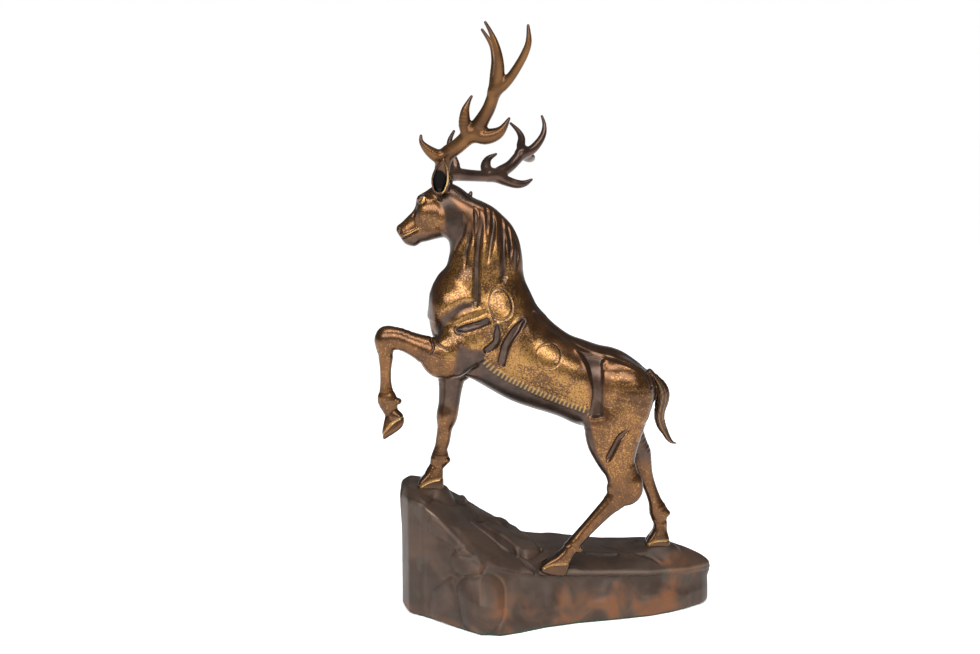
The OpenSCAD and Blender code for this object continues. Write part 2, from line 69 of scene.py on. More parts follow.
def along(path, x, z):
    """Distance to a chain of points, and how far along it the nearest place is, from 0 to 1."""
    run = np.concatenate([[0], np.cumsum(np.hypot(*np.diff(path, axis=0).T))])
    best, where = np.full(np.broadcast(x, z).shape, 1e9), np.zeros(np.broadcast(x, z).shape)
    for (ax, az), (bx, bz), r0, r1 in zip(path[:-1], path[1:], run[:-1], run[1:]):
        ux, uz = bx - ax, bz - az
        t = np.clip(((x - ax) * ux + (z - az) * uz) / max(ux * ux + uz * uz, 1e-9), 0, 1)
        d = (x - ax - t * ux) ** 2 + (z - az - t * uz) ** 2
        where = np.where(d < best, (r0 + t * (r1 - r0)) / run[-1], where)
        best = np.minimum(best, d)
    return np.sqrt(best), where


def distance_to(path, x, z):
    return along(path, x, z)[0]


def area(points, x, z):
    """Signed distance in the x, z plane to a closed outline, negative inside."""
    loop = curve(list(points) + [points[0]], 4)
    inside = np.zeros(np.broadcast(x, z).shape, bool)
    for (ax, az), (bx, bz) in zip(loop[:-1], loop[1:]):
        if az != bz:
            crosses = (z < az) != (z < bz)
            inside ^= crosses & (x < (bx - ax) * (z - az) / (bz - az) + ax)
    d = distance_to(loop, x, z)
    return np.where(inside, -d, d)


def ramp(v, start, end):
    """0 at start and 1 at end, smooth between them."""
    t = np.clip((v - start) / (end - start), 0, 1)
    return t * t * (3 - 2 * t)


def near_line(points, x, z, start, end):
    """1 within start of a smooth line, 0 past end."""
    return 1 - ramp(distance_to(curve(points), x, z), start, end)


def within(points, x, z, start, end):
    """1 inside a closed outline, 0 outside; it fades from start to end, measured outwards."""
    return 1 - ramp(area(points, x, z), start, end)


def smooth_min(a, b, k):
    """The smaller of two distances, blended where they are less than k apart."""
    h = np.maximum(k - np.abs(a - b), 0) / k
    return np.minimum(a, b) - h * h * k / 4


def smooth_max(a, b, k):
    return -smooth_min(-a, -b, k)


def ellipse(u, v, ru, rv):
    """Distance to an ellipse, good near its edge."""
    k0 = np.sqrt((u / ru) ** 2 + (v / rv) ** 2)
    k1 = np.sqrt((u / ru**2) ** 2 + (v / rv**2) ** 2)
    return k0 * (k0 - 1) / np.maximum(k1, 1e-3)


# ---------------------------------------------------------------- clay
class Clay:
    """A block of clay: phi is the signed distance, part the number of the casting."""

    def __init__(self, low, high, voxel):
        self.voxel = voxel
        self.low = np.array(low, float)
        self.shape = tuple(np.ceil((np.array(high) - self.low) / voxel).astype(int) + 1)
        self.phi = np.full(self.shape, AIR, np.float32)
        self.part = np.ones(self.shape, np.int8)
        self.axes = [self.low[i] + voxel * np.arange(self.shape[i]) for i in range(3)]

    def window(self, low, high):
        """The slices of a box in mm, cut to the block, and its x, y and z."""
        cut = []
        for i in range(3):
            a = int(np.floor((low[i] - self.low[i]) / self.voxel))
            b = int(np.ceil((high[i] - self.low[i]) / self.voxel)) + 1
            cut.append(slice(min(max(a, 0), self.shape[i]), min(max(b, 0), self.shape[i])))
        x, y, z = (self.axes[i][cut[i]].astype(np.float32) for i in range(3))
        return tuple(cut), x[:, None, None], y[None, :, None], z[None, None, :]

    def everywhere(self):
        return self.window(self.low, self.low + np.array(self.shape) * self.voxel)

    def add(self, form, blend=0.01, part=None, reach=0.0):
        """Joins a form to the clay; part takes what lies within reach of the form."""
        cut, d = form
        old = self.phi[cut]
        if part is not None:
            self.part[cut][(d < reach) | (d < old)] = part
        self.phi[cut] = smooth_min(old, d, blend) if blend > 0.05 else np.minimum(old, d)

    def carve(self, form):
        """Takes a form out of the clay."""
        cut, d = form
        self.phi[cut] = smooth_max(self.phi[cut], -d, 0.01)

    def press(self, whole, d, cut, e):
        """Joins a stretch's distances e, at cut, to the form d that covers whole."""
        local = tuple(slice(k.start - w.start, k.stop - w.start) for k, w in zip(cut, whole))
        d[local] = np.minimum(d[local], e)

    def limb(self, stations):
        """A swept form; stations are [x1, z1, x2, z2, half width, y] as in the CAD."""
        s = curve(stations, 3)
        c = np.stack([(s[:, 0] + s[:, 2]) / 2, s[:, 5], (s[:, 1] + s[:, 3]) / 2], 1)
        h = np.stack([s[:, 0] - s[:, 2], s[:, 1] - s[:, 3]], 1) / 2
        size = max(np.hypot(h[:, 0], h[:, 1]).max(), s[:, 4].max()) + AIR
        whole, *_ = self.window((c - size).min(0), (c + size).max(0))
        d = np.full(self.phi[whole].shape, AIR, np.float32)
        for i in range(len(s) - 1):
            axis = c[i + 1] - c[i]
            run = np.hypot(axis[0], axis[2])
            if run < 1e-6:
                continue
            nx, nz = -axis[2] / run, axis[0] / run
            r0, r1 = abs(h[i] @ (nx, nz)), abs(h[i + 1] @ (nx, nz))
            big = max(r0, r1, s[i, 4], s[i + 1, 4]) + AIR
            cut, x, y, z = self.window(np.minimum(c[i], c[i + 1]) - big, np.maximum(c[i], c[i + 1]) + big)
            if min(k.stop - k.start for k in cut) <= 0:
                continue
            dx, dy, dz = x - c[i, 0], y - c[i, 1], z - c[i, 2]
            t = np.clip((dx * axis[0] + dz * axis[2]) / run**2, 0, 1)
            flat = np.hypot(dx - t * axis[0], dz - t * axis[2])
            e = ellipse(flat, dy - t * axis[1], r0 + t * (r1 - r0), s[i, 4] + t * (s[i + 1, 4] - s[i, 4]))
            self.press(whole, d, cut, e)
        return whole, d

    def outline(self, tilt, one, two, width):
        """A form between two outlines, in slices square to an axis tilted in the x, z plane.

        width holds [x, z, half width] along the middle."""
        ax, az = math.cos(math.radians(tilt)), math.sin(math.radians(tilt))
        one, two, width = curve(one), curve(two), curve(width)
        both = np.vstack([one, two])
        half = width[:, 2].max() + AIR
        low = np.array([both[:, 0].min() - AIR, -half, both[:, 1].min() - AIR])
        high = np.array([both[:, 0].max() + AIR, half, both[:, 1].max() + AIR])
        cut, x, y, z = self.window(low, high)
        along, across = (x * ax + z * az)[:, 0, :], (z * ax - x * az)[:, 0, :]

        def profile(p, value):
            t = p[:, 0] * ax + p[:, 1] * az
            order = np.argsort(t)
            return np.interp(along, t[order], value[order]), t.min(), t.max()

        a, lo1, hi1 = profile(one, one[:, 1] * ax - one[:, 0] * az)
        b, lo2, hi2 = profile(two, two[:, 1] * ax - two[:, 0] * az)
        w, _, _ = profile(width, width[:, 2])
        tall = np.maximum(np.abs(a - b) / 2, 0.3)
        d = ellipse((across - (a + b) / 2)[:, None, :], y, tall[:, None, :],
                    np.maximum(w, 0.3)[:, None, :])
        ends = np.maximum(max(lo1, lo2) - along, along - min(hi1, hi2))[:, None, :]
        d = np.maximum(d, ends)
        slope = np.sqrt(sum(g**2 for g in np.gradient(d, self.voxel)))
        return cut, np.clip(d / np.maximum(slope, 0.7), -AIR, AIR).astype(np.float32)

    def ball(self, centre, radii, turn=0.0):
        """An ellipsoid, turned about Y by some degrees."""
        big = max(radii) + AIR
        cut, x, y, z = self.window(np.array(centre) - big, np.array(centre) + big)
        m = np.array(Matrix.Rotation(math.radians(turn), 3, "Y"))
        p = [x - centre[0], y - centre[1], z - centre[2]]
        q = [sum(m[j, i] * p[j] for j in range(3)) / radii[i] for i in range(3)]
        k0 = np.sqrt(sum(v * v for v in q))
        k1 = np.sqrt(sum((v / r) ** 2 for v, r in zip(q, radii)))
        return cut, (k0 * (k0 - 1) / np.maximum(k1, 1e-3)).astype(np.float32)

    def rope(self, stations):
        """A round swept form through [x, y, z, radius]."""
        s = curve(stations, 4)
        big = s[:, 3:].max() + AIR
        whole, *_ = self.window(s[:, :3].min(0) - big, s[:, :3].max(0) + big)
        d = np.full(self.phi[whole].shape, AIR, np.float32)
        for a, b in zip(s[:-1], s[1:]):
            axis = b[:3] - a[:3]
            r = max(a[3], b[3]) + AIR
            cut, x, y, z = self.window(np.minimum(a, b)[:3] - r, np.maximum(a, b)[:3] + r)
            if min(k.stop - k.start for k in cut) <= 0:
                continue
            dx, dy, dz = x - a[0], y - a[1], z - a[2]
            t = np.clip((dx * axis[0] + dy * axis[1] + dz * axis[2]) / max(axis @ axis, 1e-9), 0, 1)
            e = np.sqrt((dx - t * axis[0]) ** 2 + (dy - t * axis[1]) ** 2 + (dz - t * axis[2]) ** 2)
            self.press(whole, d, cut, e - a[3] - t * (b[3] - a[3]))
        return whole, d

    def cylinder(self, base, axis, r, length):
        """A round bar from base along a unit axis."""
        axis = np.array(axis, float)
        ends = np.array([base, np.array(base) + axis * length])
        cut, x, y, z = self.window(ends.min(0) - r - 3, ends.max(0) + r + 3)
        p = [x - base[0], y - base[1], z - base[2]]
        t = sum(v * a for v, a in zip(p, axis))
        radial = np.sqrt(np.maximum(sum(v * v for v in p) - t * t, 0)) - r
        return cut, np.maximum(radial, np.maximum(-t, t - length)).astype(np.float32)

    def beyond(self, point, normal):
        """Distance of the whole block's places past a plane."""
        _, x, y, z = self.everywhere()
        n = np.array(normal, float) / np.linalg.norm(normal)
        return (x - point[0]) * n[0] + (y - point[1]) * n[1] + (z - point[2]) * n[2]

    def sample(self, points):
        """phi at any points, between its grid values."""
        g = (points - self.low) / self.voxel
        top = np.array(self.shape) - 2
        i = np.clip(np.floor(g).astype(int), 0, top)
        f = np.clip(g - i, 0, 1)
        out = 0.0
        for k in range(8):
            o = np.array([k & 1, k >> 1 & 1, k >> 2 & 1])
            w = np.prod(np.where(o, f, 1 - f), axis=1)
            j = i + o
            out = out + w * self.phi[j[:, 0], j[:, 1], j[:, 2]]
        return out

    def slope(self, points, step):
        """Which way phi rises at any points."""
        return np.stack([self.sample(points + e) - self.sample(points - e) for e in np.eye(3) * step], 1)

    def castings(self):
        """{part: (points, quads, is_skin)}: closed meshes that share their seams."""
        label = np.where(self.phi < 0, self.part, 0).astype(np.int8)
        base = label[:-1, :-1, :-1]
        mixed = np.zeros(base.shape, bool)
        spots = [(k & 1, k >> 1 & 1, k >> 2 & 1) for k in range(8)]
        n = self.shape

        def corner(a, o):
            return a[o[0]:n[0] - 1 + o[0], o[1]:n[1] - 1 + o[1], o[2]:n[2] - 1 + o[2]]

        for o in spots[1:]:
            mixed |= corner(label, o) != base
        cells = np.argwhere(mixed)
        number = np.full(base.shape, -1, np.int32)
        number[mixed] = np.arange(len(cells))
        value = {o: self.phi[cells[:, 0] + o[0], cells[:, 1] + o[1], cells[:, 2] + o[2]] for o in spots}
        total, hits = np.zeros((len(cells), 3)), np.zeros(len(cells))
        mids, seams = np.zeros((len(cells), 3)), np.zeros(len(cells))
        tag = {o: label[cells[:, 0] + o[0], cells[:, 1] + o[1], cells[:, 2] + o[2]] for o in spots}
        for a in spots:
            for axis in range(3):
                if a[axis]:
                    continue
                b = tuple(1 if i == axis else a[i] for i in range(3))
                va, vb = value[a], value[b]
                hit = (va < 0) != (vb < 0)
                t = np.where(hit, va / np.where(hit, va - vb, 1), 0.5)
                at = np.tile(np.array(a, float), (len(cells), 1))
                at[:, axis] += t
                total += at * hit[:, None]
                hits += hit
                seam = (tag[a] != tag[b]) & ~hit
                mids += at * seam[:, None]
                seams += seam
        place = np.where(hits[:, None] > 0, total / np.maximum(hits, 1)[:, None],
                         mids / np.maximum(seams, 1)[:, None])
        points = self.low + (cells + place) * self.voxel
        made = {}
        for axis in range(3):
            first = tuple(slice(0, -1) if i == axis else slice(1, -1) for i in range(3))
            second = tuple(slice(1, None) if i == axis else slice(1, -1) for i in range(3))
            la, lb = label[first], label[second]
            edges = np.argwhere(la != lb)
            a, b = la[tuple(edges.T)], lb[tuple(edges.T)]
            cell = edges + np.array([0 if i == axis else 1 for i in range(3)])
            u, v = [np.eye(3, dtype=int)[i] for i in ((axis + 1) % 3, (axis + 2) % 3)]
            ring = [cell - u - v, cell - v, cell, cell - u]
            quad = np.stack([number[tuple(c.T)] for c in ring], 1)
            for p in np.unique(label[label > 0]):
                for mine, other, q in ((a, b, quad), (b, a, quad[:, ::-1])):
                    take = mine == p
                    made.setdefault(int(p), []).append((q[take], other[take] == 0))
        out = {}
        for p, parts in made.items():
            quads = np.vstack([q for q, _ in parts])
            skin = np.concatenate([s for _, s in parts])
            used, quads = np.unique(quads, return_inverse=True)
            out[p] = points[used], quads.reshape(-1, 4), skin
        return out


# ---------------------------------------------------------------- pieces
def mesh_piece(name, points, quads, normals):
    """A mesh object from arrays in mm; normals are one for each face corner."""
    mesh = bpy.data.meshes.new(name)
    mesh.vertices.add(len(points))
    mesh.vertices.foreach_set("co", (points * MM).astype(np.float32).ravel())
    mesh.loops.add(quads.size)
    mesh.loops.foreach_set("vertex_index", quads.astype(np.int32).ravel())
    mesh.polygons.add(len(quads))
    mesh.polygons.foreach_set("loop_start", np.arange(len(quads), dtype=np.int32) * quads.shape[1])
    mesh.update(calc_edges=True)
    mesh.validate()
    mesh.polygons.foreach_set("use_smooth", np.ones(len(mesh.polygons), bool))
    if len(mesh.loops) == len(normals):
        mesh.normals_split_custom_set(normals)
    piece = bpy.data.objects.new(name, mesh)
    bpy.context.scene.collection.objects.link(piece)
    return piece


def paint(piece, **values):
    """Stores one number a vertex under each name, for the materials."""
    for name, v in values.items():
        layer = piece.data.attributes.new(name, "FLOAT", "POINT")
        layer.data.foreach_set("value", np.asarray(v, np.float32))


def unit_rows(v):
    return v / np.maximum(np.linalg.norm(v, axis=1, keepdims=True), 1e-9)


def cast(clay, mesh, name, node, body, material, paints):
    """One casting from the clay, standing for its CAD node."""
    points, quads, skin = mesh
    q = points[quads]
    flat = unit_rows(np.cross(q[:, 2] - q[:, 0], q[:, 3] - q[:, 1]))
    smooth = unit_rows(clay.slope(points, clay.voxel * 0.75))
    corner = np.where(skin[:, None, None], smooth[quads], flat[:, None, :])
    piece = mesh_piece(name, points, quads, corner.reshape(-1, 3))
    # recess: how hollow the surface lies; the materials darken hollows with it as painted shade
    hollow = sum(clay.sample(points + o) for o in np.vstack([np.eye(3), -np.eye(3)]) * 2.2) / 6
    paint(piece, recess=np.clip(-hollow / 1.2, -1, 1), **paints(points, smooth))
    piece.data.materials.append(material)
    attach(piece, body)
    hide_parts(node)
    return piece


# ---------------------------------------------------------------- the stag's form (mm)
BACK = [(-104, 252), (-103, 264), (-99, 276), (-90, 285), (-66, 289), (-44, 281), (-28, 270), (-18, 256),
        (-10, 248), (-2, 240.6), (9, 233), (20, 229), (31.5, 225), (43, 222.6), (52, 219), (61, 213),
        (67, 208), (73, 202.5), (77.5, 194.5), (79, 188)]
BELLY = [(-104, 247), (-102.5, 238), (-100, 229), (-95, 215), (-88, 206), (-80, 201.5), (-68.5, 196.5),
         (-47, 184), (-34.6, 178), (-20, 173), (-10, 170), (1.5, 166), (12, 161), (22, 158.5), (36, 161),
         (46, 164), (56, 167), (65, 170), (72, 174), (77, 178), (79, 184)]
GIRTH = [(-104, 250, 3), (-102, 250, 9), (-98, 248, 15), (-90, 246, 20), (-78, 240, 23), (-60, 235, 25),
         (-30, 225, 25.5), (0, 202, 24.5), (22, 193, 23.5), (40, 192, 23.5), (57, 191, 21.5),
         (66, 190, 18), (73, 188, 13), (77, 187, 8), (79, 186, 3)]
THROAT = [(-104, 248), (-103.3, 257), (-101.5, 266), (-98.5, 273.5), (-94.5, 281), (-90, 288),
          (-88, 294.5), (-86.8, 302), (-88, 309), (-92, 316), (-96, 322), (-98, 330), (-97, 340),
          (-92, 349), (-88, 353)]
NAPE = [(-12, 248), (-18, 256), (-21, 263), (-24, 270), (-27, 277), (-28.6, 284.5), (-29, 292),
        (-30, 300), (-32, 309), (-35.5, 317), (-39.5, 323), (-46, 329.5), (-52.5, 335), (-61, 339.5),
        (-69, 343), (-78, 350), (-84, 353)]
NECK_GIRTH = [(-60, 248, 24.5), (-62, 262, 24), (-62, 275, 22.5), (-60, 290, 20.5), (-60, 305, 18.5),
              (-65, 320, 16), (-72, 335, 14), (-84, 345, 10.5), (-86, 353, 5)]
FOREHEAD = [(-129.2, 316.5), (-128.4, 320), (-124.8, 323), (-120.4, 327.3), (-116, 331.8), (-113.8, 336),
            (-113, 341), (-111.8, 343.6), (-110, 345), (-105.6, 347.5), (-102, 350), (-98, 352.5),
            (-92, 354), (-84, 351.5), (-76, 346.5), (-68, 341)]
JAW = [(-129.2, 315), (-124.5, 308), (-120, 305), (-115, 304), (-112, 305.3), (-109.5, 307), (-105, 308),
       (-99, 309.6), (-92, 311), (-88.6, 310), (-83, 307), (-76, 306), (-66, 312), (-58, 324), (-52, 338)]
FACE_GIRTH = [(-128.5, 315, 3), (-126, 315, 6), (-121, 316, 7.4), (-116, 318, 7.9), (-111, 322, 9),
              (-107, 326, 11), (-102, 330, 12.4), (-96, 332, 13), (-90, 333, 13), (-78, 335, 12),
              (-60, 338, 9)]

LEFT_FORELEG = [
    [-66, 250, -52, 224, 7, -15], [-77, 249, -60, 215, 10.5, -16.5], [-90, 241, -72, 205, 12, -17],
    [-98, 236, -86, 201.5, 11.5, -17.5], [-106, 237.5, -97, 207, 10, -18],
    [-117, 239.5, -110.5, 216, 8.6, -18], [-129, 242, -123.5, 223, 7.4, -18],
    [-139, 241, -131, 223.5, 7.6, -18], [-144, 232, -131, 221, 7, -18],
    [-143, 221, -131.5, 215, 5.6, -18], [-142, 210, -133, 207, 4.6, -18],
    [-142, 198, -133, 197, 4.3, -18], [-143, 188, -131, 189, 4.9, -18],
    [-144.3, 183, -128.5, 184, 5.6, -18], [-140.5, 175.5, -128, 176, 4.8, -18],
    [-138.2, 170.5, -125.5, 171.5, 5.2, -18]]
RIGHT_FORELEG = [
    [-88, 246, -54, 240, 7, 15], [-97, 232, -55, 226, 10, 16.5], [-99, 220, -60, 213, 11.5, 17],
    [-99, 209, -67, 203, 11, 17.5], [-98, 199, -74, 197, 9.8, 18], [-97, 185, -78, 184, 8.3, 18],
    [-97.6, 170, -80.5, 169, 7.2, 18], [-98.6, 161, -83, 160, 7.2, 18], [-98.6, 152, -86, 152, 6.2, 18],
    [-100, 141, -88, 141, 4.9, 18], [-101.7, 133, -90, 134, 4.9, 18], [-104.5, 126, -89, 125.5, 5.6, 18],
    [-106.5, 118, -94.5, 119, 4.9, 18], [-109.5, 112.5, -95, 114, 5.4, 18]]
LEFT_HIND_LEG = [
    [44, 206, 58, 206, 5, -12], [37, 200, 66, 199, 10, -14.5], [33, 190, 73.5, 190, 12, -15.5],
    [29, 176, 73.5, 177, 12.6, -16], [20, 163, 69.5, 166, 12, -16.5], [21, 153, 65, 156, 10.8, -17.5],
    [25, 144, 62.5, 147, 9.6, -18], [30.5, 134, 60.8, 137, 8.4, -18.5], [36, 125, 62.5, 128, 7.4, -19],
    [38.6, 117.5, 65, 119.5, 6.8, -19.5], [38, 111, 67.8, 113, 6.4, -20], [33, 102, 60, 105, 5.6, -20],
    [26.8, 92.5, 46.8, 94.2, 5, -20], [19.8, 83.4, 36.6, 84.4, 4.7, -20], [13, 75, 27.5, 75, 4.9, -20],
    [6.6, 67, 20.5, 67, 5.7, -20], [2, 60.5, 14.5, 58.5, 5, -20], [-4.5, 55, 10, 53, 5.6, -20]]
RIGHT_HIND_LEG = [
    [44, 206, 58, 206, 5, 12], [37, 200, 66, 199, 10, 14.5], [33, 190, 73.5, 190, 12, 15.5],
    [31, 176, 73.5, 177, 12.6, 16], [34, 163, 74.5, 166, 11.6, 17], [41, 152, 72, 155, 10, 18],
    [50, 142, 74, 145, 8.4, 19], [57.5, 133, 78, 133, 7.2, 20], [61, 125, 79, 126, 6.6, 21],
    [66, 114, 80, 115, 5.6, 21.5], [72, 102, 83, 103, 4.8, 22], [76.5, 90, 88, 90, 4.8, 22],
    [78, 79.5, 94, 79, 5.8, 22], [82, 71, 91.5, 71, 5, 22], [81, 64.5, 93, 64, 5.6, 22]]
TAIL = [
    [68, 207, 79, 200, 4.5, 0], [74, 197.5, 86, 193, 5.2, 0], [78, 188, 89.5, 187.5, 5.6, 0],
    [78.2, 180, 89.8, 181, 5.6, 0], [77.4, 168, 86.4, 168, 4.8, 0], [79.4, 159, 87.5, 160, 4.2, 0],
    [84, 152, 89.5, 154.5, 3.2, 0], [88, 146.6, 91.8, 148.6, 2.2, 0], [91.8, 143.8, 94, 145.4, 1.3, 0],
    [95.6, 143.2, 96.6, 144.4, 0.7, 0]]
LEFT_EAR = [
    [-90.8, 374.5, -90, 374.5, 0.7, -24.6], [-93.6, 370.5, -88.3, 370, 1.9, -23.8],
    [-97.6, 365, -87, 364, 2.8, -22.4], [-100.3, 358, -86.8, 357, 3.4, -20.5],
    [-99.6, 352, -88.6, 351, 3.2, -18.5], [-97, 346.5, -92, 346, 2.6, -15.5],
    [-96, 342, -92, 342, 2.4, -11]]
RIGHT_EAR = [
    [-90.8, 363, -90, 363, 0.9, 39.6], [-93.6, 360.2, -88.3, 360, 2.6, 37],
    [-97.6, 356.2, -87, 355.5, 4.2, 33], [-100.3, 351.5, -86.8, 350.5, 5.2, 27.7],
    [-99.6, 347.5, -88.6, 346.5, 4.8, 23], [-97, 343, -92, 343, 3.5, 17.4], [-96, 341, -92, 341, 2.8, 11]]
EARS = {"left_ear": (LEFT_EAR, (-2.1, 0)), "right_ear": (RIGHT_EAR, (1.5, -2.0))}

# Feet below the pasterns: outline in (x, z), half width, y, toe (x, z), sole height where it stands
FEET = {
    "left_foreleg": ([(-138.4, 170), (-139.7, 164.2), (-140.7, 157.9), (-139.6, 152.2), (-135.2, 154.4),
                      (-128, 159.2), (-124.1, 163.2), (-123.3, 167.8), (-124.6, 172), (-127.9, 174.8),
                      (-131, 176), (-135, 175)], 6.2, -18, (-141, 154), None),
    "right_foreleg": ([(-104, 121), (-105.8, 116.8), (-110, 112.4), (-114, 107.5), (-114.8, 103),
                       (-113.6, 98), (-103.6, 97), (-94.8, 98), (-93.5, 104), (-93.8, 111), (-95, 121)],
                      7, 18, (-116, 101), 103),
    "left_hind_leg": ([(5.2, 66), (4.4, 63), (-0.8, 57.6), (-8.6, 53), (-14, 48.2), (-14, 43), (-4, 40),
                       (5, 40), (7.8, 44.4), (9, 50), (12.6, 57), (16.4, 62), (14, 67)], 7, -20,
                      (-16, 46), 45),
    "right_hind_leg": ([(80.6, 73), (82.3, 67), (79.4, 61), (75.6, 55), (75.6, 49.5), (86, 48.5),
                        (94.2, 49.5), (95.3, 55.5), (93, 64.3), (92, 73)], 7, 22, (73, 52), 52)}
# The line where the horn of each hoof starts, in (x, z)
HORN = {"left_foreleg": [(-140.6, 155), (-137.7, 159), (-133.6, 164.6), (-127.9, 168.8), (-123, 170)],
        "right_foreleg": [(-115, 101.6), (-107.8, 106.6), (-100.4, 109.3), (-93, 110.6)],
        "left_hind_leg": [(-14.5, 46.4), (-5.6, 49.6), (1, 50.6), (9, 50.4)],
        "right_hind_leg": [(75, 52), (81.8, 55.4), (88.7, 56.6), (96, 56)]}
LEGS = {"left_foreleg": LEFT_FORELEG, "right_foreleg": RIGHT_FORELEG,
        "left_hind_leg": LEFT_HIND_LEG, "right_hind_leg": RIGHT_HIND_LEG}
# Swellings on both sides of the trunk: centre, radii, turn about Y, blend
MUSCLES = [((-83, 13, 257), (15, 9.5, 16), -20, 8),         # chest above the shoulder
           ((-52, 15, 246), (17, 10, 20), -15, 7),          # shoulder blade
           ((-5, 12, 207), (34, 13, 19), 22, 8),            # ribs
           ((-104, 6.5, 332), (8, 6, 10), 30, 4),           # cheekbone
           ((-108, 6.6, 342), (3.6, 3.2, 2.6), 20, 3)]      # brow
# Knees and dewclaws: casting, centre, radii, turn about Y, blend
JOINTS = [("left_foreleg", (-137.5, -18, 233), (6.8, 7.2, 8.8), 0, 5),
          ("right_foreleg", (-90.5, 18, 163), (6.8, 7.2, 8.8), 0, 5),
          ("left_foreleg", (-128, -18, 182.5), (3, 4.6, 2.6), 0, 1.5),
          ("right_foreleg", (-90.6, 18, 125), (3, 4.6, 2.6), 0, 1.5),
          ("left_hind_leg", (17.5, -20, 61), (3.2, 4.4, 2.4), -35, 1.5),
          ("right_hind_leg", (92.6, 22, 78.5), (3.2, 4.4, 2.6), 0, 1.5)]
NAPE_TUFT = (-70.5, 0, 344.5), (1.7, 1.6, 3.4), 15
TAIL_STRANDS = 2.1       # how fast the tail's strands follow each other across it, in radians a mm
HIND_BLEND, FORE_BLEND = 9, 4        # how softly each leg runs into the trunk
STAG_BLOCK = (-150, -33, 34), (102, 33, 380)         # lowest and highest corner of the clay

WEB = 9                  # half of the middle web that the legs seat against
WEB_BOTTOM = 150
NECK_SEAM = (-62, 0, 261), 7         # a point, and the turn about Y
HEAD_SEAM = (-83, 0, 330), 77
LEFT_LEAN, RIGHT_LEAN = 12, -30      # of the antlers' pegs, in degrees about X
PEDICLE_R, PEDICLE_LENGTH = 6.6, 8   # the stump that an antler sits on
SOCKET_R, SOCKET_DEPTH = 2.6, 12     # the hole for its peg
SEATS = [(np.array(seat, float), np.array([0, -math.sin(math.radians(a)), math.cos(math.radians(a))]))
         for seat, a in (((-93, -8, 356), LEFT_LEAN), ((-91, 9, 355), RIGHT_LEAN))]
PARTS = {"torso": 1, "neck": 2, "head": 3, "left_foreleg": 4, "right_foreleg": 5, "left_hind_leg": 6,
         "right_hind_leg": 7, "tail": 8, "left_ear": 9, "right_ear": 10}

# ---------------------------------------------------------------- chased lines on both flanks (mm)
# The mane's grooves: a line in (x, z), width, depth, share of the run over which the lower end fades
MANE = [([(-70.5, 325), (-71, 312), (-73, 303), (-74.5, 287.5)], 3.4, 1.6, 0.35),
        ([(-62.3, 333), (-62, 326), (-63.5, 314), (-65, 296), (-65.6, 277), (-66, 261)], 5.4, 2.0, 0.04),
        ([(-54, 333), (-52.5, 320), (-54.5, 305), (-57, 291)], 3.8, 1.9, 0.4),
        ([(-48, 330), (-46, 320.5), (-45.3, 309), (-44.9, 296), (-44.8, 279)], 5.4, 2.0, 0.06),
        ([(-42.5, 324), (-39.5, 308), (-39.5, 294)], 3.2, 1.5, 0.4),
        ([(-38, 317), (-34.5, 302), (-34.5, 285)], 2.8, 1.2, 0.4),
        ([(-67, 336), (-66, 325), (-67.5, 311)], 2.8, 1.2, 0.5),
        ([(-58.5, 336), (-57, 327), (-58, 316)], 2.6, 1.1, 0.5),
        ([(-76.5, 331.5), (-75.2, 323.5), (-76.5, 315), (-80.5, 306), (-84, 298)], 3.2, 1.4, 0.4)]
# Raised strands between the grooves: a line in (x, z), width, height
STRANDS = [([(-73, 309), (-73.5, 300), (-74, 288)], 5, 1.0),
           ([(-67.5, 312), (-69, 301), (-71, 288)], 5, 1.1),
           ([(-60, 322), (-59.5, 306), (-61, 290), (-61, 278)], 5, 1.0),
           ([(-50, 322), (-50, 306), (-50.5, 290), (-51, 274)], 7, 1.3),
           ([(-41.5, 314), (-41, 302), (-41, 286)], 4, 1.0),
           ([(-36, 310), (-36.5, 298), (-37, 282)], 4, 0.9)]
# The dark strap of the throat behind the cheek
STRAP = [(-94.3, 344), (-87.7, 343.5), (-83, 340), (-76.5, 331.5), (-75.2, 323.5), (-76.5, 316),
         (-80.5, 310), (-84, 300), (-87.5, 303), (-88, 312), (-90, 320), (-89.5, 328), (-91.5, 335),
         (-94.5, 340)]
# The dark crease over the shoulder
CREASE = [(-98.5, 233), (-95.5, 240.5), (-88, 250.5), (-78, 258), (-68.5, 260.5), (-61, 259.5)]
# Sunk bars round the shoulder: a line in (x, z), width, depth
SLOTS = [([(-79.5, 241), (-71.8, 242.6), (-63.3, 245.5), (-57.5, 248)], 6.8, 1.6),
         ([(-49.5, 243.5), (-49.5, 237), (-51, 230.5), (-57.5, 225)], 6.6, 1.7),
         ([(-29.5, 247.5), (-37.5, 237.5), (-43, 227.5), (-46, 214.5)], 7.6, 1.8)]
OVAL_CENTRE, OVAL_SIZE, OVAL_TURN = (-47, 261), (8.8, 12.4), 12
RING_CENTRE, RING_RADIUS = (-9, 220), 9.8
# The lower edge of the dark stripe down the back, and the sunk dark band before the haunch
STRIPE = [(-20.5, 253), (-12.5, 245), (-5, 238.5), (4, 232), (15, 225), (23, 221.5), (30.5, 219),
          (38.5, 217), (47.5, 214.5), (55.5, 211.5), (63.5, 207), (69.5, 201), (72.5, 194)]
BAND = [(13.5, 223.5), (22, 221), (35.5, 217), (34, 212), (34.5, 205), (34.5, 175), (31.5, 171),
        (23.5, 170.5), (24, 181), (25, 191), (23, 202.5), (20, 213)]
# The line that the tassels above the belly hang from
FRINGE = [(-59, 221), (-47, 210), (-28.5, 200), (-11, 192), (5.5, 185.3), (22.5, 179.5)]
TICKS = 28
# The groove down the haunch
HAUNCH = [(56, 163), (47.4, 155.3), (41.9, 144.5), (37.2, 134.5)]
